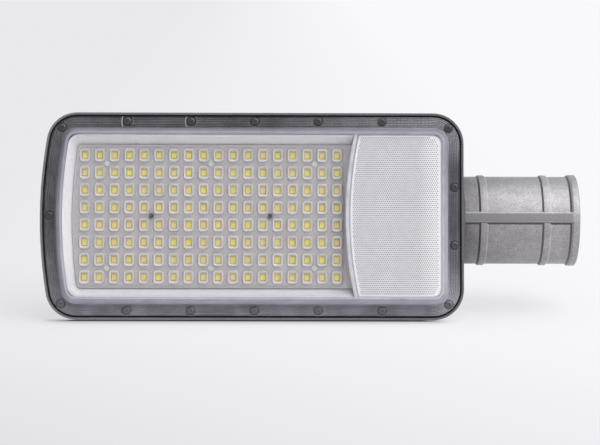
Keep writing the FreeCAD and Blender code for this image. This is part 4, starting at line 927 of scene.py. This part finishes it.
def make_panel():
    """The tray, with an arch in its front wall that clears the end of the light board."""
    face = panel_low.z
    edge, wall = PANEL_EDGE, PANEL_WALL
    profile = [(0.0, panel_high.z), (0.0, face + edge), (edge * 0.2, face + edge * 0.6),
               (edge * 0.55, face + edge * 0.22), (edge, face), (DOT_MARGIN - 0.7, face)]
    mesh = bmesh.new()
    skin(mesh, [ring(bowed(inset), z) for inset, z in profile])
    skin(mesh, [ring(bowed(profile[-1][0]), face)], caps=(False, True), material=1)
    skin(mesh, [ring(bowed(0.0), panel_high.z), ring(bowed(wall), panel_high.z),
                ring(bowed(wall), face + wall)], caps=(False, True))
    bmesh.ops.remove_doubles(mesh, verts=mesh.verts, dist=1e-4)
    panel = finished("panel_tray", mesh, [finishes["white_panel"], field_material], smooth=30)
    arch = bmesh.new()
    half = panel_high.y - wall - ARCH_SIDE
    front = panel_low.x - ARCH_FRONT
    length = board_high.x + ARCH_REACH - front
    centre = Vector((front + length / 2, 0, panel_high.z))
    bmesh.ops.create_cube(arch, size=2.0, matrix=Matrix.Translation(centre)
                          @ Matrix.Diagonal((length / 2, half, ARCH_HEIGHT, 1)))
    cut_out(panel, finished("arch", arch, []))
    return dress(panel, "white_panel", "driver_panel")


def make_panel_dots():
    """Dimples on every place of a staggered grid that lies inside the panel's bowed outline, painted dark as
    painted shade.
    """
    bow = RIDGE_RADIUS - RIDGE_WIDTH - RIDGE_GAP
    centre_x = panel_low.x + bow
    half = panel_high.y - DOT_MARGIN
    right = panel_high.x - TAIL_MARGIN
    corner = DOT_CORNER
    places = []
    for row in range(int(2 * half / DOT_PITCH) + 1):
        y = -half + row * DOT_PITCH
        left = centre_x - math.sqrt((bow - DOT_MARGIN) ** 2 - y ** 2)
        shift = DOT_PITCH / 2 * (row % 2)
        for step in range(int((right - panel_low.x) / DOT_PITCH) + 1):
            x = right - shift - step * DOT_PITCH
            past = Vector((max(x - right + corner, 0), max(abs(y) - half + corner, 0)))
            if x > left and past.length <= corner:
                places.append((x, y, panel_low.z))
    mesh = bmesh.new()
    turns = [math.pi / 3 * step for step in range(6)]
    sunk, proud = 0.05, 0.06
    skin(mesh, [[Vector((r * math.cos(t), r * math.sin(t), z)) for t in turns]
                for r, z in ((DOT_WIDTH / 2, sunk), (DOT_WIDTH / 2, -proud / 2),
                             (DOT_WIDTH / 4, -proud))], caps=(True, True))
    dot = finished("dot", mesh, [dimple_shade_material])
    return dress(on_points("panel_dots", dot, dimple_shade_material, places), "white_panel")


make_flange()
make_recess_highlights()
make_window()
make_ridge()
make_cover_screws()
make_lenses()
make_chips()
make_panel()
make_panel_dots()
make_spigot_trim()
dress(make_eased("spigot_casting", "spigot", 0.7, finishes["cast_aluminium"]), "cast_aluminium", "spigot")

for part in frame["record"]["subparts"]:
    piece = frame["nodes"][part["node"]]
    finish = finishes[part["material_slot"]]
    piece.data.materials.clear()
    piece.data.materials.append(finish)

# Stage: the head lies on its long side on a pale floor that slopes to the camera, as it leans back.
# The floor shows from its upper side only and lets every lamp through; the ground under the window face
# shows only to a camera above it.

LEAN = math.radians(12.0)
FLOOR_DROP = 0.2
FLOOR_SIZE = 30.0
GLOW = 0.75
KEY_SIDE = (0.45, -0.7, -0.55)
KEY_LEVEL = 0.6
FILL_SIDE = (-0.45, 0.35, 0.8)
FILL_LEVEL = 0.35
LAMP_SOFTNESS = 60
SKY_SIDE = (0.5, -0.78, -0.38)


def paths(tree):
    """The ray's kind, and whether it shows the pale backdrop: to the camera, in gloss and through glass."""
    kinds = add(tree, "ShaderNodeLightPath").outputs
    mirrored = add(tree, "ShaderNodeMath", {0: kinds["Is Glossy Ray"], 1: kinds["Is Transmission Ray"]},
                   operation="MAXIMUM")
    seen = add(tree, "ShaderNodeMath", {0: kinds["Is Camera Ray"], 1: mirrored.outputs[0]},
               operation="MAXIMUM")
    return kinds, seen.outputs[0]


def stage_shader(tree, left, right, near_left, near_right, hidden_from_front):
    """Pale matt paper, painted brighter to the right and away from the camera as painted light, that glows to
    the camera except in the contact strip.
    """
    far_tone = along(tree, "X", -550.0, 50.0, left, right)
    near_tone = along(tree, "X", -550.0, 50.0, near_left, near_right)
    tone = along(tree, "Z", -450.0, -100.0, near_tone, far_tone)
    path, seen = paths(tree)
    lit = add(tree, "ShaderNodeEmission", {"Color": tone})
    # The strip under the head keeps its own shade, and is painted nearly black where the head all but touches
    # it: a painted contact shadow.
    under = along(tree, "Z", -37.0, -32.0, "#ffffff", along(tree, "Z", -29.5, -27.0, "#000000", "#ffffff"))
    beside = along(tree, "X", -125.0, -105.0, "#000000", "#ffffff")
    beyond = along(tree, "X", -425.0, -400.0, "#ffffff", "#000000")
    open_side = add(tree, "ShaderNodeMath", {0: beside, 1: beyond}, operation="MAXIMUM")
    open_floor = add(tree, "ShaderNodeMath", {0: under, 1: open_side.outputs[0]}, operation="MAXIMUM")
    line = add(tree, "ShaderNodeMapRange", {"Value": open_floor.outputs[0], "From Max": 0.25})
    # Painted contact shadow: a dark colour on the paper in the strip.
    contact = add(tree, "ShaderNodeMix", {0: line.outputs[0], 6: "#1c1c20", 7: tone}, data_type="RGBA")
    matt = add(tree, "ShaderNodeBsdfDiffuse", {"Color": contact.outputs[2]})
    glow = add(tree, "ShaderNodeMath", {0: open_floor.outputs[0], 1: GLOW}, operation="MULTIPLY")
    share = add(tree, "ShaderNodeMath", {0: seen, 1: glow.outputs[0]}, operation="MULTIPLY")
    paper = add(tree, "ShaderNodeMixShader", {0: share.outputs[0], 1: matt.outputs[0], 2: lit.outputs[0]})
    behind = add(tree, "ShaderNodeNewGeometry").outputs["Backfacing"]
    if hidden_from_front:
        front = add(tree, "ShaderNodeMath", {0: 1.0, 1: behind}, operation="SUBTRACT")
        shown = add(tree, "ShaderNodeMath", {0: path["Is Camera Ray"], 1: front.outputs[0]},
                    operation="MULTIPLY")
    else:
        passed = add(tree, "ShaderNodeMath", {0: path["Is Camera Ray"], 1: behind}, operation="MULTIPLY")
        hidden = add(tree, "ShaderNodeMath", {0: passed.outputs[0], 1: path["Is Shadow Ray"]},
                     operation="MAXIMUM")
        shown = add(tree, "ShaderNodeMath", {0: 1.0, 1: hidden.outputs[0]}, operation="SUBTRACT")
    open_air = add(tree, "ShaderNodeBsdfTransparent")
    return add(tree, "ShaderNodeMixShader", {0: shown.outputs[0], 1: open_air.outputs[0],
                                             2: paper.outputs[0]})


def make_plane(name, origin, normal, material):
    turn = Vector(normal).to_track_quat("Z", "Y").to_matrix().to_4x4()
    place = Matrix.Translation(Vector(origin) * MM) @ turn
    mesh = bmesh.new()
    bmesh.ops.create_grid(mesh, x_segments=1, y_segments=1, size=FLOOR_SIZE / 2, matrix=place)
    data = bpy.data.meshes.new(name)
    mesh.to_mesh(data)
    mesh.free()
    data.materials.append(material)
    made = bpy.data.objects.new(name, data)
    bpy.context.scene.collection.objects.link(made)


floor_paper = new_material("pale paper floor", stage_shader, "#e6e5ea", "#f5f5f7", "#d9d7dd", "#eeeef1",
                           False)
ground_paper = new_material("pale paper ground", stage_shader, "#ebeaee", "#f2f2f4", "#e6e5ea",
                            "#f0f0f2", True)
make_plane("floor", (0, HALF + FLOOR_DROP, -30.0), (0, -math.cos(LEAN), -math.sin(LEAN)), floor_paper)
make_plane("ground", (0, 0, cover_low.z), (0, 0, 1), ground_paper)


def make_world():
    """Soft pale surroundings, a little brighter above and to the right."""
    world = bpy.data.worlds.new("studio")
    bpy.context.scene.world = world
    world.use_nodes = True
    tree = world.node_tree
    tree.nodes.clear()
    _, seen = paths(tree)
    direction = add(tree, "ShaderNodeTexCoord").outputs["Generated"]
    towards = add(tree, "ShaderNodeVectorMath", {0: direction, 1: Vector(SKY_SIDE).normalized()},
                  operation="DOT_PRODUCT")
    share = add(tree, "ShaderNodeMapRange", {"Value": towards.outputs["Value"], "From Max": 0.95})
    around = add(tree, "ShaderNodeMix", {0: share.outputs[0], 6: "#8c8c90", 7: "#f6f6f7"},
                 data_type="RGBA")
    pale = add(tree, "ShaderNodeMix", {0: share.outputs[0], 6: "#e4e4e7", 7: "#f8f8fa"}, data_type="RGBA")
    level = add(tree, "ShaderNodeMix", {0: seen, 6: around.outputs[2], 7: pale.outputs[2]},
                data_type="RGBA")
    backdrop = add(tree, "ShaderNodeBackground", {"Color": level.outputs[2], "Strength": 1.0})
    add(tree, "ShaderNodeOutputWorld", {"Surface": backdrop.outputs[0]})


def make_lamp(name, towards, level, softness):
    """A soft distant lamp; level is how bright it makes a white sheet that faces it."""
    data = bpy.data.lights.new(name, "SUN")
    data.energy = level * math.pi
    data.angle = math.radians(softness)
    lamp = bpy.data.objects.new(name, data)
    lamp.rotation_mode = "QUATERNION"
    lamp.rotation_quaternion = Vector(towards).to_track_quat("Z", "Y")
    bpy.context.scene.collection.objects.link(lamp)


make_world()
make_lamp("key", KEY_SIDE, KEY_LEVEL, LAMP_SOFTNESS)
make_lamp("back fill", FILL_SIDE, FILL_LEVEL, LAMP_SOFTNESS)


# Camera, fitted to the head's outline in the photograph, whose frame is 600 by 445 pixels.

CAMERA_PLACE = (-0.2427, 0.09985, -1.62123)
CAMERA_RIGHT = (0.9999, -0.00155, -0.01381)
CAMERA_UP = (-0.00237, -0.99819, -0.06009)
FOCAL_PIXELS = 2020.87
FRAME_WIDTH = 600


def make_camera():
    data = bpy.data.cameras.new("camera")
    data.sensor_width = 36.0
    data.lens = FOCAL_PIXELS / FRAME_WIDTH * data.sensor_width
    data.clip_start, data.clip_end = 0.05, 50.0
    made = bpy.data.objects.new("camera", data)
    right, up = Vector(CAMERA_RIGHT).normalized(), Vector(CAMERA_UP).normalized()
    back = right.cross(up).normalized()
    made.matrix_world = Matrix.Translation(CAMERA_PLACE) @ Matrix((right, up, back)).transposed().to_4x4()
    bpy.context.scene.collection.objects.link(made)
    bpy.context.scene.camera = made


make_camera()
bpy.context.scene.view_settings.view_transform = "Standard"
